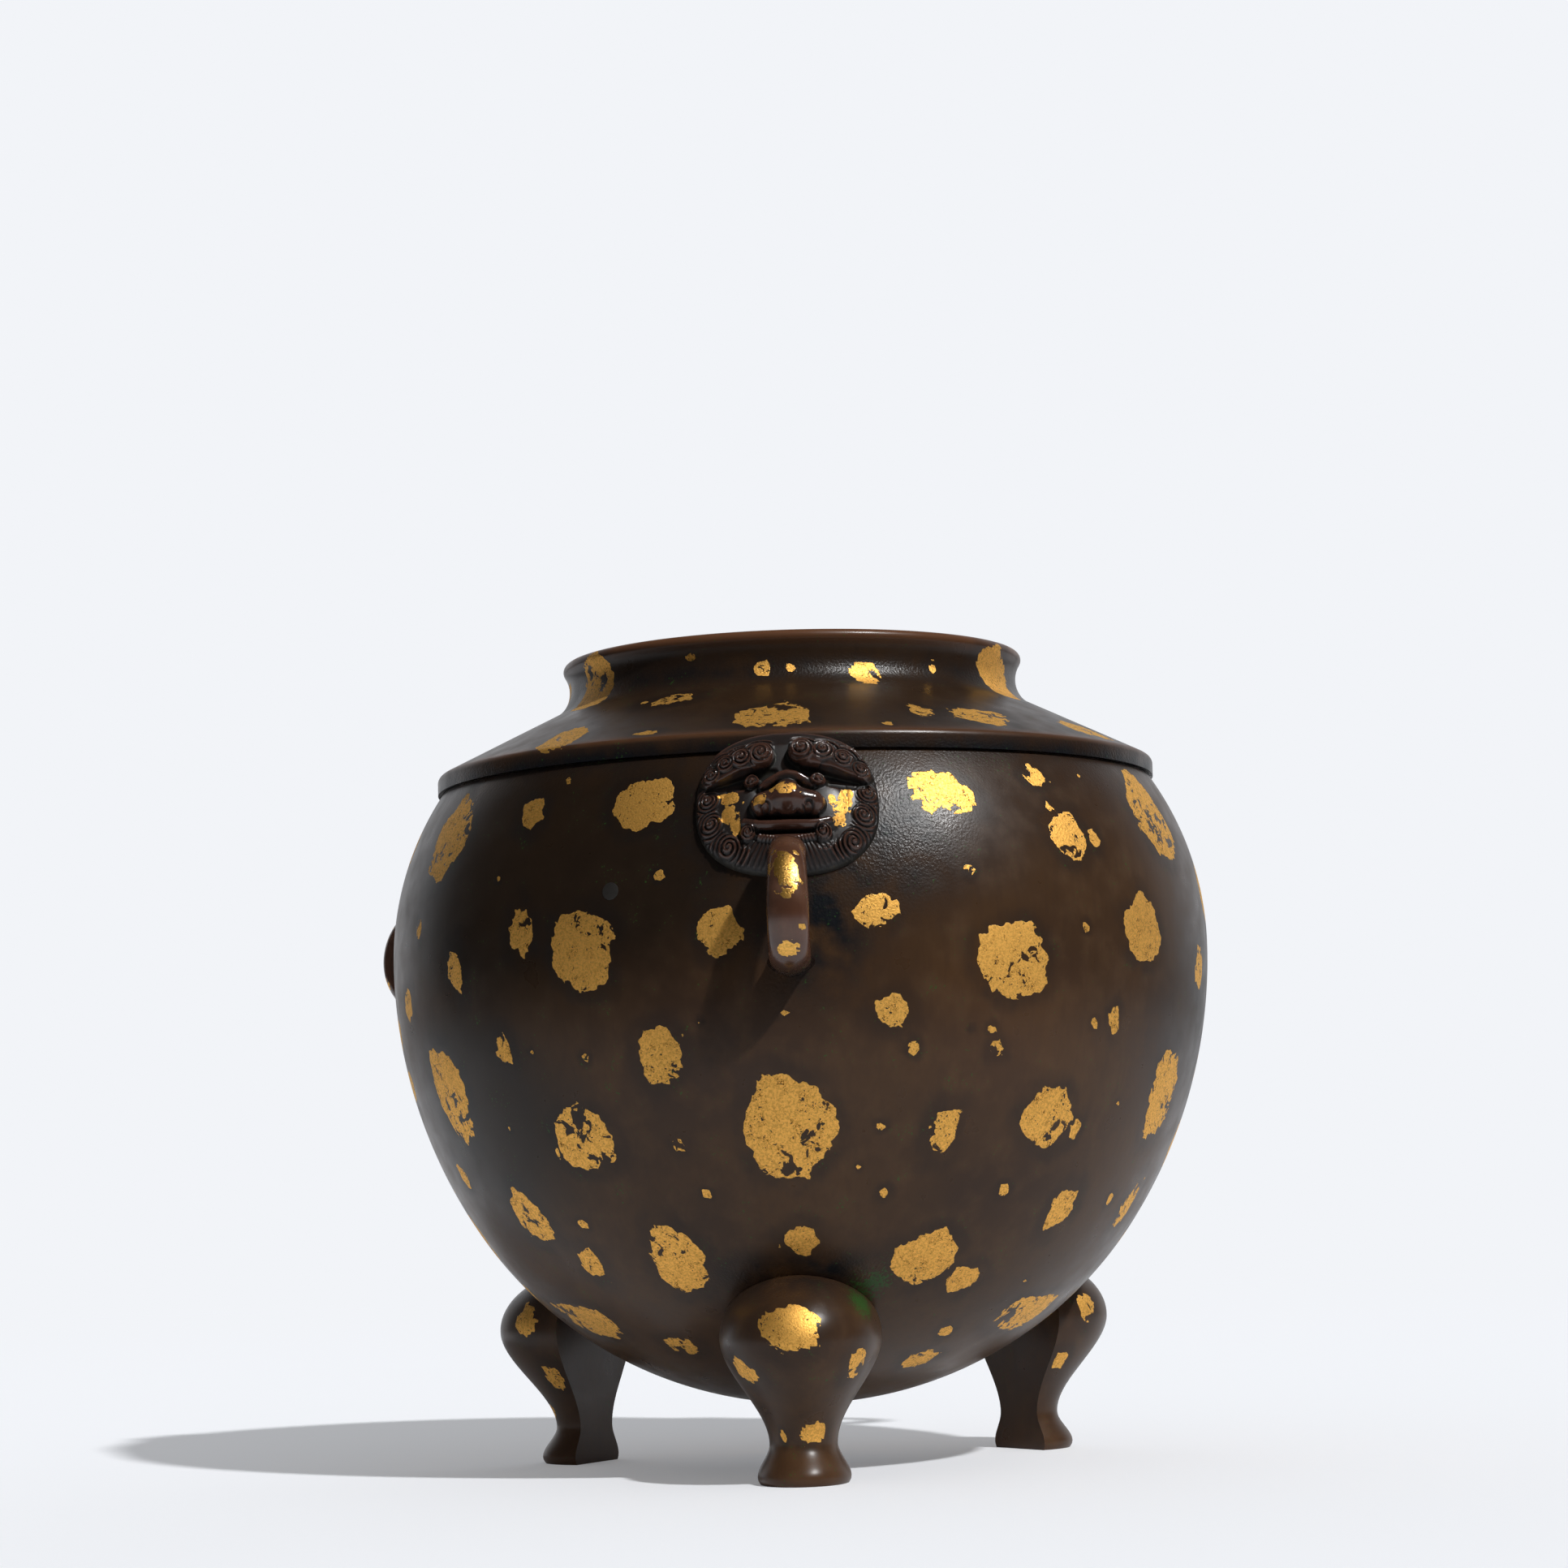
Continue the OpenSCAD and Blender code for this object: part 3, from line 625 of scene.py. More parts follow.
# Legs: half an oval in section, flat behind, swelling to a knee that sits against the bowl
legShape = {
    "back": 61.5, "depth": 1.36, "foot": 10.7, "ankle": 7.8, "knee": 18.6, "footTop": 1.6, "ankleHeight": 9,
    "kneeHeight": 33, "top": 48.5, "toeRound": 0.6, "toeRings": [0, 0.4, 0.9], "crown": 2, "ringStep": 0.75,
    "spinSteps": 72,
}
legPatina = {"duskFrom": 38, "duskFade": 9, "redBelow": 14, "crust": (62, 41, 15, 14, 0)}
legSplashes = {  # turn round the leg, height, width, height of the splash, tilt
    "front": [(-5, 36, 17, 13, -5), (-48, 26, 11, 8, -35), (50, 27, 9, 10, 20), (20, 12, 8, 7, 0),
              (-30, 11, 2, 4, 0)],
    "left": [(66, 36, 10, 9, 20), (78, 22, 7, 9, 0), (10, 33, 14, 12, 0), (-40, 28, 9, 8, 0),
             (30, 13, 6, 5, 0)],
    "right": [(-66, 35, 9, 9, 0), (-80, 22, 6, 8, 0), (5, 34, 13, 12, 0), (45, 27, 9, 9, 0),
              (-20, 13, 6, 6, 0)],
}


def ease(start, end, share):
    return start + (end - start) * (3 - 2 * share) * share ** 2


def legHalfWidth(z):
    s = legShape
    if z < s["footTop"]:
        return s["foot"] - s["toeRound"] * (1 - z / s["footTop"]) ** 2
    if z < s["ankleHeight"]:
        return ease(s["foot"], s["ankle"], (z - s["footTop"]) / (s["ankleHeight"] - s["footTop"]))
    if z < s["kneeHeight"]:
        return ease(s["ankle"], s["knee"], (z - s["ankleHeight"]) / (s["kneeHeight"] - s["ankleHeight"]))
    return s["knee"] * math.sqrt(max(0, 1 - ((z - s["kneeHeight"]) / (s["top"] - s["kneeHeight"])) ** 2))


# Ball inside the bowl's wall that hollows what is fixed to the base
def hollowByBall(piece):
    ball = startPiece("seatBall", bpy.ops.mesh.primitive_uv_sphere_add, segments=192, ring_count=96,
                      radius=(baseBall["radius"] - baseBall["bite"]) * mm,
                      location=(0, 0, baseBall["middle"] * mm))
    pick(piece)
    cut = piece.modifiers.new("seat", "BOOLEAN")
    cut.operation = "DIFFERENCE"
    cut.object = ball
    bpy.ops.object.modifier_apply(modifier=cut.name)
    bpy.data.objects.remove(ball)


def makeLeg():
    s = legShape
    heights = s["toeRings"] + list(np.arange(s["footTop"], s["top"] - s["crown"], s["ringStep"]))
    crown = [s["top"] - s["crown"] * (1 - math.sin(math.radians(a))) for a in range(0, 90, 10)]
    line = [(0, 0)] + [(legHalfWidth(z), z) for z in heights + crown] + [(0, s["top"])]
    piece = traceLine("legDraft", line)
    spinLine(s["spinSteps"], math.pi)
    selectOpenEdges()
    bpy.ops.mesh.edge_face_add()  # flat back
    faceOutwards()
    places = vertexPlaces(piece)  # the spin goes from +X to -X by -Y, so -Y becomes outwards
    setPlaces(piece, np.column_stack([s["back"] - s["depth"] * places[:, 1], places[:, 0], places[:, 2]]))
    hollowByBall(piece)
    return piece


def legSpot(turn, height, wide, tall, tilt):
    a, w = math.radians(turn), legHalfWidth(height)
    middle = np.array([legShape["back"] + legShape["depth"] * w * math.cos(a), w * math.sin(a), height])
    across = np.array([-legShape["depth"] * math.sin(a), math.cos(a), 0])
    across = across / np.linalg.norm(across)
    grow = legHalfWidth(height + 0.5) - legHalfWidth(height - 0.5)
    up = np.array([legShape["depth"] * grow * math.cos(a), grow * math.sin(a), 1])
    up = up - across * (up @ across)
    return middle, across, up / np.linalg.norm(up), wide, tall, tilt


def placeLegs():
    p = legPatina
    for side, turn, piece in copiesRound(makeLeg(), "leg"):
        places = vertexPlaces(piece)
        height = places[:, 2]
        spots = [legSpot(*each) for each in legSplashes[side]]
        crust = [legSpot(*p["crust"])] if side == "front" else []
        setAttributes(piece, splash=splashField(places, vertexNormals(piece), spots, "leg"),
                      dusk=0.8 * unit((height - p["duskFrom"]) / p["duskFade"]),
                      verdigris=softPatch(places, crust),
                      redden=0.12 * unit((p["redBelow"] - height) / p["redBelow"]))
        setPlaces(piece, places @ turnedTo(turn).T)
        smoothEdges(piece, 40)
        finishPiece(piece, "leg_" + side, "brown_patina_bronze", brownPatina)


placeLegs()
print("legs placed")


# Loop handles: a rounded band bent to half a ring, with straight ends into the wall
handleShape = {
    "height": 128.2, "middle": 104.6, "loop": 12.5, "width": 9.2, "thickness": 6.4, "square": 2.05,
    "sectionPoints": 36, "bends": 56, "endLength": 8, "endSteps": 10, "topWidth": 0.9, "bottomRound": 4.2,
    "flare": 0.25, "flareFrom": 1.6, "flareLength": 4, "lowScale": 0.97, "bottomTaper": 0.8,
}
# Millimetres from the loop's middle towards the wall and down, for painted shade on the half of the loop by
# the wall and under its bend, and a redder lower half
handlePatina = {"wallFrom": 3, "wallFade": 6, "underFrom": 11, "underFade": 4, "redFade": 14}
handleSplashes = [  # turn round the loop from its top, across the band, width, length, tilt
    (60, -0.2, 6.6, 12, 8), (112, 3.9, 3, 4, 0), (130, 0.0, 4, 5, 20),
]


def makeHandle():
    s = handleShape
    piece = startPiece("handleDraft", bpy.ops.mesh.primitive_circle_add, vertices=s["sectionPoints"],
                       radius=mm)
    corner = 2 / s["square"]
    turns = np.linspace(0, 2 * math.pi, s["sectionPoints"], endpoint=False)
    c, d = np.cos(turns), np.sin(turns)
    across = np.sign(c) * np.abs(c) ** corner * s["width"] / 2
    thick = np.sign(d) * np.abs(d) ** corner * s["thickness"] / 2
    # section stands at the top of the loop: across is local Y, thickness is Z
    top = s["height"] + s["loop"]
    setPlaces(piece, np.column_stack([np.full(len(c), s["middle"]), across, top + thick]))
    bpy.ops.object.mode_set(mode="EDIT")
    bpy.ops.mesh.select_all(action="SELECT")
    bpy.ops.mesh.spin(steps=s["bends"], angle=-math.pi, axis=(0, 1, 0),
                      center=(s["middle"] * mm, 0, s["height"] * mm))
    selectOpenEdges()
    step = (-s["endLength"] / s["endSteps"] * mm, 0, 0)
    for _ in range(s["endSteps"]):
        bpy.ops.mesh.extrude_edges_move(TRANSFORM_OT_translate={"value": step})
    bpy.ops.mesh.edge_face_add()
    faceOutwards()
    places = vertexPlaces(piece)
    share = np.clip((places[:, 2] - s["height"]) / s["loop"], -1, 1)
    places[:, 1] *= 1 - (1 - s["topWidth"]) * unit(share)
    # solder widens both ends where they meet the belly
    ends = unit((s["middle"] - s["flareFrom"] - places[:, 0]) / s["flareLength"])
    places[:, 1] *= 1 + s["flare"] * ends ** 2
    lower = np.where(places[:, 2] < s["height"], s["lowScale"], 1)
    places[:, 2] = s["height"] + (places[:, 2] - s["height"]) * lower
    low = unit(1 - (places[:, 2] - places[:, 2].min()) / s["bottomRound"])
    places[:, 1] *= np.sqrt(1 - s["bottomTaper"] * low ** 2)
    setPlaces(piece, places)
    return piece


def handleSpot(turn, across, wide, length, tilt):
    s = handleShape
    a = math.radians(turn)
    outward = np.array([math.sin(a), 0, math.cos(a)])
    middle = np.array([s["middle"], across, s["height"]]) + outward * (s["loop"] + s["thickness"] / 2)
    return middle, np.array([0, 1.0, 0]), np.array([-math.cos(a), 0, math.sin(a)]), wide, length, tilt


def placeHandles():
    s, p = handleShape, handlePatina
    for side, turn, piece in copiesRound(makeHandle(), "handle"):
        places = vertexPlaces(piece)
        below = s["height"] - places[:, 2]
        spots = [handleSpot(*each) for each in handleSplashes]
        inward = unit((s["middle"] + p["wallFrom"] - places[:, 0]) / p["wallFade"])
        under = unit((below - p["underFrom"]) / p["underFade"])
        # painted shade on the half of the loop by the wall and under its bend
        setAttributes(piece, splash=splashField(places, vertexNormals(piece), spots, "handle"), dusk=inward,
                      umber=np.maximum(0.85 * inward, 0.9 * under), verdigris=np.zeros(len(places)),
                      redden=0.3 * unit(below / p["redFade"]) * (1 - under))
        setPlaces(piece, places @ turnedTo(turn + maskShape["turn"]).T)
        smoothEdges(piece, 40)
        finishPiece(piece, "handle_" + side, "red_brown_handle_bronze", redPatina)


# Masks: a lion's face in relief, drawn as heights over a plate that follows the belly
maskShape = {
    "turn": 1.1, "height": 151.5, "halfWidth": 20.6, "halfHeight": 18.2, "lowHalfHeight": 16.8, "square": 2.4,
    "columns": 288, "rows": 252, "edge": 0.7, "dome": 4.0, "forehead": 2.8, "mane": 0.6, "backDepth": 1.0,
    "crisp": 5, "noseSoftness": 1.1, "rope": 1.35, "ropeTurns": 2.6, "curlBoss": 0.65, "softPasses": 1,
    "beardRope": 0.55, "beardStep": 4.3, "groovePasses": 24, "grooveDepth": 0.5, "wearPasses": 500,
    "wearShare": 0.25,
}
# Curls carved in the brows, the mane and the ends of the lip: across, up, radius, way of turning, lift
maskCurls = [
    (-5.6, 9.7, 2.8, 1, 3.5), (-10.0, 9.3, 2.4, 1, 3.0), (-13.6, 8.7, 2.1, 1, 2.4),
    (-16.8, 6.9, 1.9, 1, 1.8),
    (3.6, 10.5, 2.8, -1, 3.6), (8.4, 10.5, 2.5, -1, 3.1), (12.9, 9.3, 2.2, -1, 2.5),
    (16.7, 7.2, 2.0, -1, 1.9),
    (-17.4, 0.9, 2.2, -1, 1.0), (-17.0, -5.0, 2.3, -1, 1.1), (-13.2, -11.0, 2.7, -1, 1.3),
    (17.8, 1.9, 2.2, 1, 1.0), (17.0, -3.8, 2.4, 1, 1.2), (14.7, -10.2, 2.7, 1, 1.3),
    (-8.8, -8.5, 1.7, 1, 1.7), (8.0, -8.8, 1.9, -1, 1.8),
]
# Rounded strands, each through points of across, up, radius, lift
maskBrows = [
    [(-5.6, 9.0, 2.5, 3.1), (-10.6, 8.5, 2.9, 2.8), (-17.2, 6.2, 2.0, 1.7)],
    [(4.4, 9.4, 2.5, 3.2), (9.8, 9.0, 3.0, 2.9), (17.2, 6.6, 2.1, 1.8)],
]
maskNose = [
    [(0.3, 0.4, 3.2, 4.4), (0.3, -1.0, 3.9, 5.6), (0.3, -1.7, 3.9, 5.9)],
    [(-1.5, -1.9, 3.1, 5.4), (-5.3, -2.5, 2.8, 4.5)],
    [(2.1, -1.9, 3.1, 5.4), (6.0, -2.4, 2.8, 4.5)],
]
maskStrands = [
    [(-5.4, 2.4, 0.9, 1.5), (-3.9, 3.5, 1.1, 2.0), (-2.2, 4.4, 1.3, 2.5), (0.3, 4.8, 1.4, 2.8),
     (2.8, 4.5, 1.3, 2.5), (4.5, 3.6, 1.1, 2.0), (6.0, 2.5, 0.9, 1.5)],  # fold over the nose
    [(-4.8, 2.2, 0.7, 1.4), (-2.4, 3.5, 0.8, 2.0), (0.3, 3.9, 0.9, 2.3), (3.0, 3.6, 0.8, 2.0),
     (5.4, 2.3, 0.7, 1.4)],
    [(-9.4, -5.9, 1.0, 1.3), (-7.2, -6.6, 1.1, 1.8), (-4.6, -7.1, 1.2, 2.1), (0.2, -7.2, 1.3, 2.2),
     (5.0, -7.1, 1.2, 2.1), (7.2, -6.7, 1.1, 1.8), (9.4, -5.9, 1.0, 1.3)],  # upper lip
    [(-6.0, -9.6, 0.9, 1.0), (0.0, -10.2, 1.2, 1.4), (6.0, -9.6, 0.9, 1.0)],  # lower lip
]
# Grooves: the same, with depth in place of lift, under the brows, in the mouth and under the nose
maskGrooves = [
    [(-2.8, 5.8, 1.2, 0.9), (-9.6, 4.4, 2.2, 1.7), (-17.0, 3.2, 1.4, 1.1)],
    [(3.4, 6.0, 1.2, 0.9), (9.8, 4.6, 2.2, 1.7), (17.0, 3.6, 1.4, 1.1)],
    [(-8.0, -8.2, 0.5, 0.6), (-4.4, -8.7, 0.5, 1.2), (4.6, -8.7, 0.5, 1.2), (7.6, -8.3, 0.5, 0.6)],
    [(-6.0, -5.6, 0.6, 0.8), (-3.0, -5.8, 0.6, 1.1), (3.6, -5.8, 0.6, 1.1), (6.6, -5.6, 0.6, 0.8)],
]
maskCheeks = [(-10.6, -2.4, 4.6, 0.7), (9.0, -2.4, 4.6, 0.7)]
maskEyes = {"places": [(-7.7, 4.0), (7.1, 3.9)], "radius": 1.9, "lift": 3.3}
maskNostrils = [(-4.6, -4.2, 1), (4.9, -4.0, -1)]
maskSplashes = [  # across, up, width, height, tilt
    (-12.5, 0.4, 5.2, 4.0, 0), (-13.0, -3.6, 4.0, 4.8, 0), (-11.7, -6.2, 2.2, 3.4, 15),
    (13.2, 0.6, 2.4, 3.2, -25), (12.4, -2.4, 3.3, 4.4, -10), (11.8, -5.2, 2.9, 3.4, -15),
    (10.1, -0.8, 2.2, 2.8, 20),
    (0.2, -0.9, 5.9, 4.2, 15), (-6.0, -2.4, 2.8, 2.0, 15),
]


def swell(distance, radius):
    return np.sqrt(unit(1 - (distance / radius) ** 2))


# Height of a strand at every point: its lift in the middle, falling to its edge
def strandRise(u, v, strand, fullness=1.0):
    rise = np.zeros_like(u)
    for (u0, v0, r0, h0), (u1, v1, r1, h1) in zip(strand, strand[1:]):
        share = unit(((u - u0) * (u1 - u0) + (v - v0) * (v1 - v0)) / ((u1 - u0) ** 2 + (v1 - v0) ** 2))
        distance = np.hypot(u - u0 - share * (u1 - u0), v - v0 - share * (v1 - v0))
        lift, radius = h0 + (h1 - h0) * share, r0 + (r1 - r0) * share
        rise = np.maximum(rise, lift * swell(distance, radius) ** fullness)
    return rise


# Highest of several forms, with their meeting lines a little rounded
def joinForms(rises, crisp):
    top = np.max(rises, axis=0)
    extra = sum(np.exp(crisp * (r - top)) for r in rises) / (1 + (len(rises) - 1) * np.exp(-crisp * top))
    return top + np.log(extra) / crisp


# Round rope profile between two grooves, for a share of 0 to 1 across it
def rope(share):
    return np.sqrt(unit(1 - (2 * (share % 1.0) - 1) ** 2))


def maskRelief(u, v, outline):
    s = maskShape
    body = s["edge"] + s["dome"] * (1 - outline ** 3.2) + s["forehead"] * unit((v - 4) / 9) ** 1.5
    flat = np.zeros_like(u)
    sides = unit((6 - v) / 3)
    nose = joinForms([strandRise(u, v, part, 0.9) for part in maskNose], s["noseSoftness"])
    forms = [flat, nose, sides * s["mane"] * swell(outline - 0.86, 0.2)]
    forms += [strandRise(u, v, brow, 0.8) for brow in maskBrows]
    forms += [strandRise(u, v, each) for each in maskStrands]
    forms += [lift * swell(np.hypot(u - a, (v - b) * 0.8), radius) for a, b, radius, lift in maskCheeks]
    eye = maskEyes
    forms += [eye["lift"] * swell(np.hypot(u - a, v - b), eye["radius"]) for a, b in eye["places"]]
    forms += [lift * swell(np.hypot(u - a, v - b), 1.12 * size) ** 0.8 for a, b, size, _, lift in maskCurls]
    rise = joinForms(forms, s["crisp"])
    # hair: ropes that wind round the nearest curl
    nearest, winding = np.full_like(u, 9.0), np.zeros_like(u)
    for a, b, radius, way, _ in maskCurls:
        share, angle = np.hypot(u - a, v - b) / radius, np.arctan2(v - b, u - a)
        winding = np.where(share < nearest, s["ropeTurns"] * share - way * angle / (2 * math.pi), winding)
        nearest = np.minimum(nearest, share)
    maneHair = sides * unit((outline - 0.74) / 0.06)
    # the brow is smooth below this line
    browLine = np.interp(np.abs(u), (0, 5, 10.5, 17, 20), (8.8, 8.6, 8.0, 6.0, 5.5))
    browHair = unit((v - browLine) / 0.8) * unit((np.abs(u + 0.9) - 1.6) / 0.8)
    hair = np.maximum(maneHair, browHair) * unit((2.2 - nearest) / 0.6)
    hair = np.maximum(hair, unit((1.08 - nearest) / 0.08))
    rise += hair * s["rope"] * (rope(winding) - 0.55)
    rise += s["curlBoss"] * np.exp(-(nearest / 0.32) ** 2)
    for a, b in eye["places"]:
        distance = np.hypot(u - a, v - b)
        rise += 0.45 * np.exp(-((distance - 1.6) / 0.3) ** 2) - 0.7 * np.exp(-((distance - 1.0) / 0.28) ** 2)
        rise += 0.4 * np.exp(-(distance / 0.5) ** 2)
    for a, b, way in maskNostrils:
        distance, angle = np.hypot(u - a, v - b), np.arctan2(v - b, u - a)
        rise -= 0.8 * np.exp(-((distance - 0.9 - 0.25 * way * angle / math.pi) / 0.3) ** 2)
        rise -= 0.9 * np.exp(-((u - a) / 0.8) ** 2 - ((v - b + 0.7) / 0.6) ** 2)
    for groove in maskGrooves:
        rise -= strandRise(u, v, groove)
    # beard: straight ropes that fan out below the mouth
    distance, angle = np.hypot(u, v + 1), np.degrees(np.arctan2(u, -(v + 1)))
    beard = unit((distance - 8.9) / 0.8) * unit((0.985 - outline) / 0.04)
    beard *= unit((48 - np.abs(angle)) / 4) * (nearest > 1.1)
    rise += beard * s["beardRope"] * (rope(angle / s["beardStep"]) - 0.2)
    # the outline is rounded off to the edge
    rise *= np.sqrt(unit((1 - outline) / 0.04))
    return body * unit((1 - outline) / 0.03 + 0.45) + rise


def blur(grid, passes):
    for _ in range(passes):
        for axis in (0, 1):
            grid = (np.roll(grid, 1, axis) + 2 * grid + np.roll(grid, -1, axis)) / 4
    return grid


def makeMask():
    s = maskShape
    piece = startPiece("maskDraft", bpy.ops.mesh.primitive_grid_add, x_subdivisions=s["columns"],
                       y_subdivisions=s["rows"], size=2 * mm)
    square = vertexPlaces(piece)
    p, q = square[:, 0], square[:, 1]
    outline, power = np.maximum(np.abs(p), np.abs(q)), s["square"]
    fit = outline / np.maximum((np.abs(p) ** power + np.abs(q) ** power) ** (1 / power), 1e-9)
    u, v = p * fit * s["halfWidth"], q * fit * np.where(q < 0, s["lowHalfHeight"], s["halfHeight"])
    shape = (s["rows"] + 1, s["columns"] + 1)
    height = blur(maskRelief(u, v, outline).reshape(shape), s["softPasses"]).ravel()  # worn by hands
    grooved, worn = (height - blur(height.reshape(shape), s[each]).ravel()
                     for each in ("groovePasses", "wearPasses"))
    relief = grooved / s["grooveDepth"] + s["wearShare"] * worn  # hands rub the brows and the nose most
    lean, radius = wallAt(s["height"])
    fall = -u ** 2 * math.cos(lean) / (2 * radius) - v ** 2 / (2 * bowlShape["topArc"])
    height[outline > 1 - 1e-4] = -s["backDepth"]  # the last ring goes into the wall
    setPlaces(piece, onWall(s["height"], height + fall, u, v))
    setAttributes(piece, relief=np.clip(relief, -1, 1))
    flat = np.column_stack([np.zeros_like(u), u, v])
    right, up = np.array([0, 1.0, 0]), np.array([0, 0, 1.0])
    spots = [(np.array([0, a, b]), right, up, w, h, t) for a, b, w, h, t in maskSplashes]
    facing = np.tile(np.array([1.0, 0, 0]), (len(u), 1))
    setAttributes(piece, splash=splashField(flat, facing, spots, "mask"))
    bpy.ops.object.mode_set(mode="EDIT")
    selectOpenEdges()
    bpy.ops.mesh.extrude_edges_move(TRANSFORM_OT_translate={"value": (0, 0, 0)})
    bpy.ops.mesh.merge(type="CENTER")  # closes the back, inside the bowl's wall
    faceOutwards()
    return piece


def placeMasks():
    for side, turn, piece in copiesRound(makeMask(), "mask"):
        setPlaces(piece, vertexPlaces(piece) @ turnedTo(turn + maskShape["turn"]).T)
        smoothEdges(piece, 60)
        finishPiece(piece, "mask_" + side, "black_brown_mask_bronze", maskPatina)


placeMasks()
print("masks carved and placed")
placeHandles()
print("handles bent and placed")


# Casting plug: a round patch dressed almost flush with the belly
plugShape = {"turn": -22.8, "height": 134, "radius": 2, "proud": 0.08, "deep": 1.5, "edge": 0.06}


def makePlug():
    s = plugShape
    piece = startPiece("castingPlug", bpy.ops.mesh.primitive_cylinder_add, vertices=40,
                       radius=s["radius"] * mm, depth=(s["proud"] + s["deep"]) * mm)
    bpy.ops.object.mode_set(mode="EDIT")
    bpy.ops.mesh.select_all(action="SELECT")
    bpy.ops.mesh.bevel(offset=s["edge"] * mm, segments=2, affect="EDGES")
    bpy.ops.object.mode_set(mode="OBJECT")
    places = vertexPlaces(piece)
    out = places[:, 2] + (s["proud"] - s["deep"]) / 2  # the cylinder's axis becomes the way out of the wall
    setPlaces(piece, onWall(s["height"], out, places[:, 0], places[:, 1]) @ turnedTo(s["turn"]).T)
    bpy.ops.object.mode_set(mode="EDIT")
    faceOutwards()
    smoothEdges(piece, 30)
    finishPiece(piece, "casting_plug", "grey_plug_bronze", plugOxide)


makePlug()
for node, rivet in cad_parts.items():
    if "rivet" in node:
        rivet.data.materials.clear()
        rivet.data.materials.append(rivetOxide)
print("plug and rivets done")


# Studio: white paper and a white wall behind, a dim room in front that polished metal shows, and one lamp
studio = {
    "floor": "#e6e8ec", "room": "#302f30", "paper": "#f2f4f8", "white": "#f2f4f8", "glow": 0.18,
    "floorSize": 60, "tableSkew": 0.9, "tableFrom": 0.53, "tableTo": 1.0, "fadeFrom": 0.5, "fadeTo": 1.6,
    "dim": 0.055, "wall": 0.8, "wallFrom": 0.42, "wallTo": 0.7, "wallTop": 0.45, "wallEnd": 0.75,
    "aboveWall": 0.1, "lampToward": (0.4575, -0.5856, 0.669), "glintToward": (0.512, -0.438, 0.739),
    "lampPower": 2.7, "glintPower": 4, "lampWidth": 2.6, "ceilingPower": 0.8, "ceilingWidth": 150,
}


def addLamp(name, toward, power, width):
    lamp = startPiece(name, bpy.ops.object.light_add, type="SUN", location=[2 * x for x in toward])
    lamp.rotation_euler = Vector(toward).to_track_quat("Z", "Y").to_euler()
    lamp.data.energy = power
    lamp.data.angle = math.radians(width)
    return lamp


def makeFloor():
    s = studio
    floor = startPiece("floor", bpy.ops.mesh.primitive_plane_add, size=s["floorSize"])
    paper, add = newMaterial("matWhitePaper")  # matt studio paper, with a faint tooth
    coord = add("TexCoord", out="Object")
    tooth = add("TexNoise", {"Vector": coord, "Scale": 1000 / 1.5, "Detail": 3})
    bump = add("Bump", {"Strength": 0.05, "Distance": 0.1 * mm, "Height": tooth})
    away = add("VectorMath", {0: coord}, out="Value", operation="LENGTH")
    seen = add("LightPath", out="Is Camera Ray")
    glow = add("Math", {0: seen, 1: s["glow"]}, operation="MULTIPLY")  # white for the camera only
    # the paper ends on a table's edge in front, which only the metal mirrors: the camera sees paper all round
    back = add("SeparateXYZ", {"Vector": coord}, out="Y")
    edge = add("Math", {0: back, 1: -s["tableSkew"], 2: away}, operation="MULTIPLY_ADD")
    edge = add("MapRange", {"Value": edge, "From Min": s["tableFrom"], "From Max": s["tableTo"]},
               interpolation_type="SMOOTHSTEP")
    table = add("Mix", {0: edge, 6: linear(s["paper"]), 7: linear(s["room"])}, data_type="RGBA")
    sheet = add("Mix", {0: seen, 6: table, 7: linear(s["floor"])}, data_type="RGBA")
    shader = add("BsdfPrincipled", {
        "Base Color": sheet, "Roughness": 0.9, "Specular IOR Level": 0, "Normal": bump,
        "Emission Color": linear(s["white"]), "Emission Strength": glow})
    far = add("MapRange", {"Value": away, "From Min": s["fadeFrom"], "From Max": s["fadeTo"]},
              interpolation_type="SMOOTHSTEP")
    fade = add("Math", {0: far, 1: seen}, operation="MULTIPLY")
    wash = add("Emission", {"Color": linear(s["white"])})
    mixed = add("MixShader", {0: fade, 1: shader, 2: wash})
    add("OutputMaterial", {"Surface": mixed})
    floor.data.materials.append(paper)


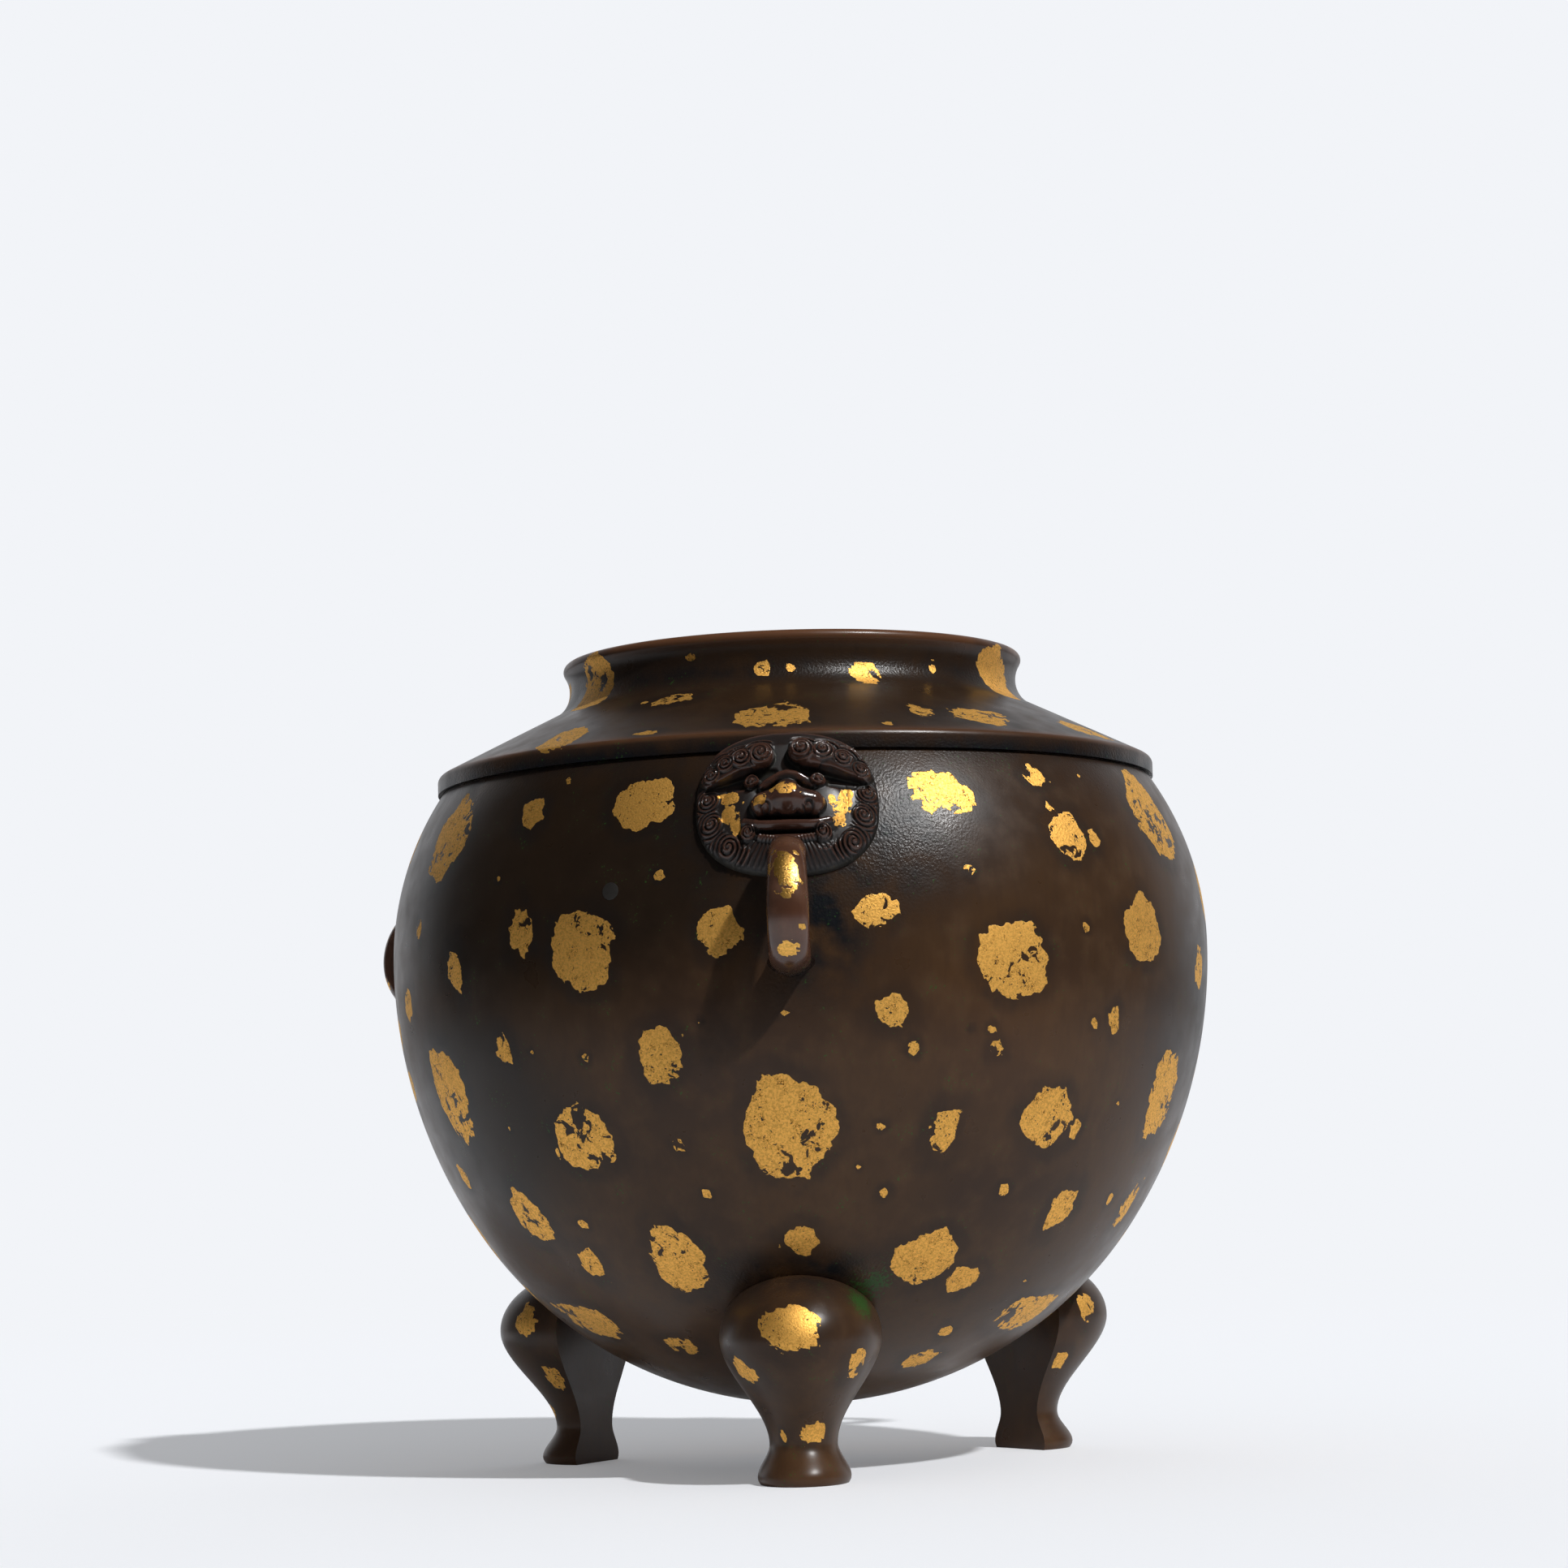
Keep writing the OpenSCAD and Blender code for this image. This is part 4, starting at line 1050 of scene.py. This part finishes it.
def makeRoom():
    s = studio
    world = bpy.data.worlds.new("studioRoom")
    bpy.context.scene.world = world
    world.use_nodes = True
    world.node_tree.nodes.clear()
    add = partial(addNode, world.node_tree)
    way = add("TexCoord", out="Generated")
    back, up = (add("SeparateXYZ", {"Vector": way}, out=each) for each in "YZ")
    seen = add("LightPath", out="Is Camera Ray")
    wall = add("MapRange", {"Value": back, "From Min": s["wallFrom"], "From Max": s["wallTo"],
                            "To Min": s["dim"], "To Max": s["wall"]}, interpolation_type="SMOOTHSTEP")
    low = add("MapRange", {"Value": up, "From Min": s["wallTop"], "From Max": s["wallEnd"],
                           "To Min": 1, "To Max": s["aboveWall"]}, interpolation_type="SMOOTHSTEP")
    # the white wall stands low behind the burner for every ray, and the camera sees white all round
    level = add("Math", {0: wall, 1: low}, operation="MULTIPLY")
    level = add("Math", {0: level, 1: seen}, operation="MAXIMUM")
    room = add("Background", {"Color": linear(s["white"]), "Strength": level})
    add("OutputWorld", {"Surface": room})


def placeLamps():
    s = studio
    addLamp("keyLamp", s["lampToward"], s["lampPower"], s["lampWidth"]).visible_glossy = False
    # the key lamp's mirror image, and a soft light that polished metal doesn't mirror
    addLamp("glintLamp", s["glintToward"], s["glintPower"], s["lampWidth"]).visible_diffuse = False
    addLamp("ceilingFill", (0, 0, 1), s["ceilingPower"], s["ceilingWidth"]).visible_glossy = False


makeFloor()
makeRoom()
placeLamps()
bpy.context.scene.view_settings.view_transform = "Standard"


# Camera: low in front of the burner, tipped up a little, as the photograph was taken
cameraSet = {
    "place": (0.0377, -0.9392, 0.0648), "lens": 87.39, "sensor": 36, "turn": 2.47, "tip": 6.19, "roll": -1.66,
}


def makeCamera():
    s = cameraSet
    camera = startPiece("camera", bpy.ops.object.camera_add, location=s["place"])
    camera.data.lens = s["lens"]
    camera.data.sensor_width = s["sensor"]
    turn = Matrix.Rotation(math.radians(s["turn"]), 3, "Z")
    tip = Matrix.Rotation(math.radians(90 + s["tip"]), 3, "X")
    roll = Matrix.Rotation(math.radians(s["roll"]), 3, "Z")
    camera.rotation_euler = (turn @ tip @ roll).to_euler()
    bpy.context.scene.camera = camera


makeCamera()
print("studio and camera set")
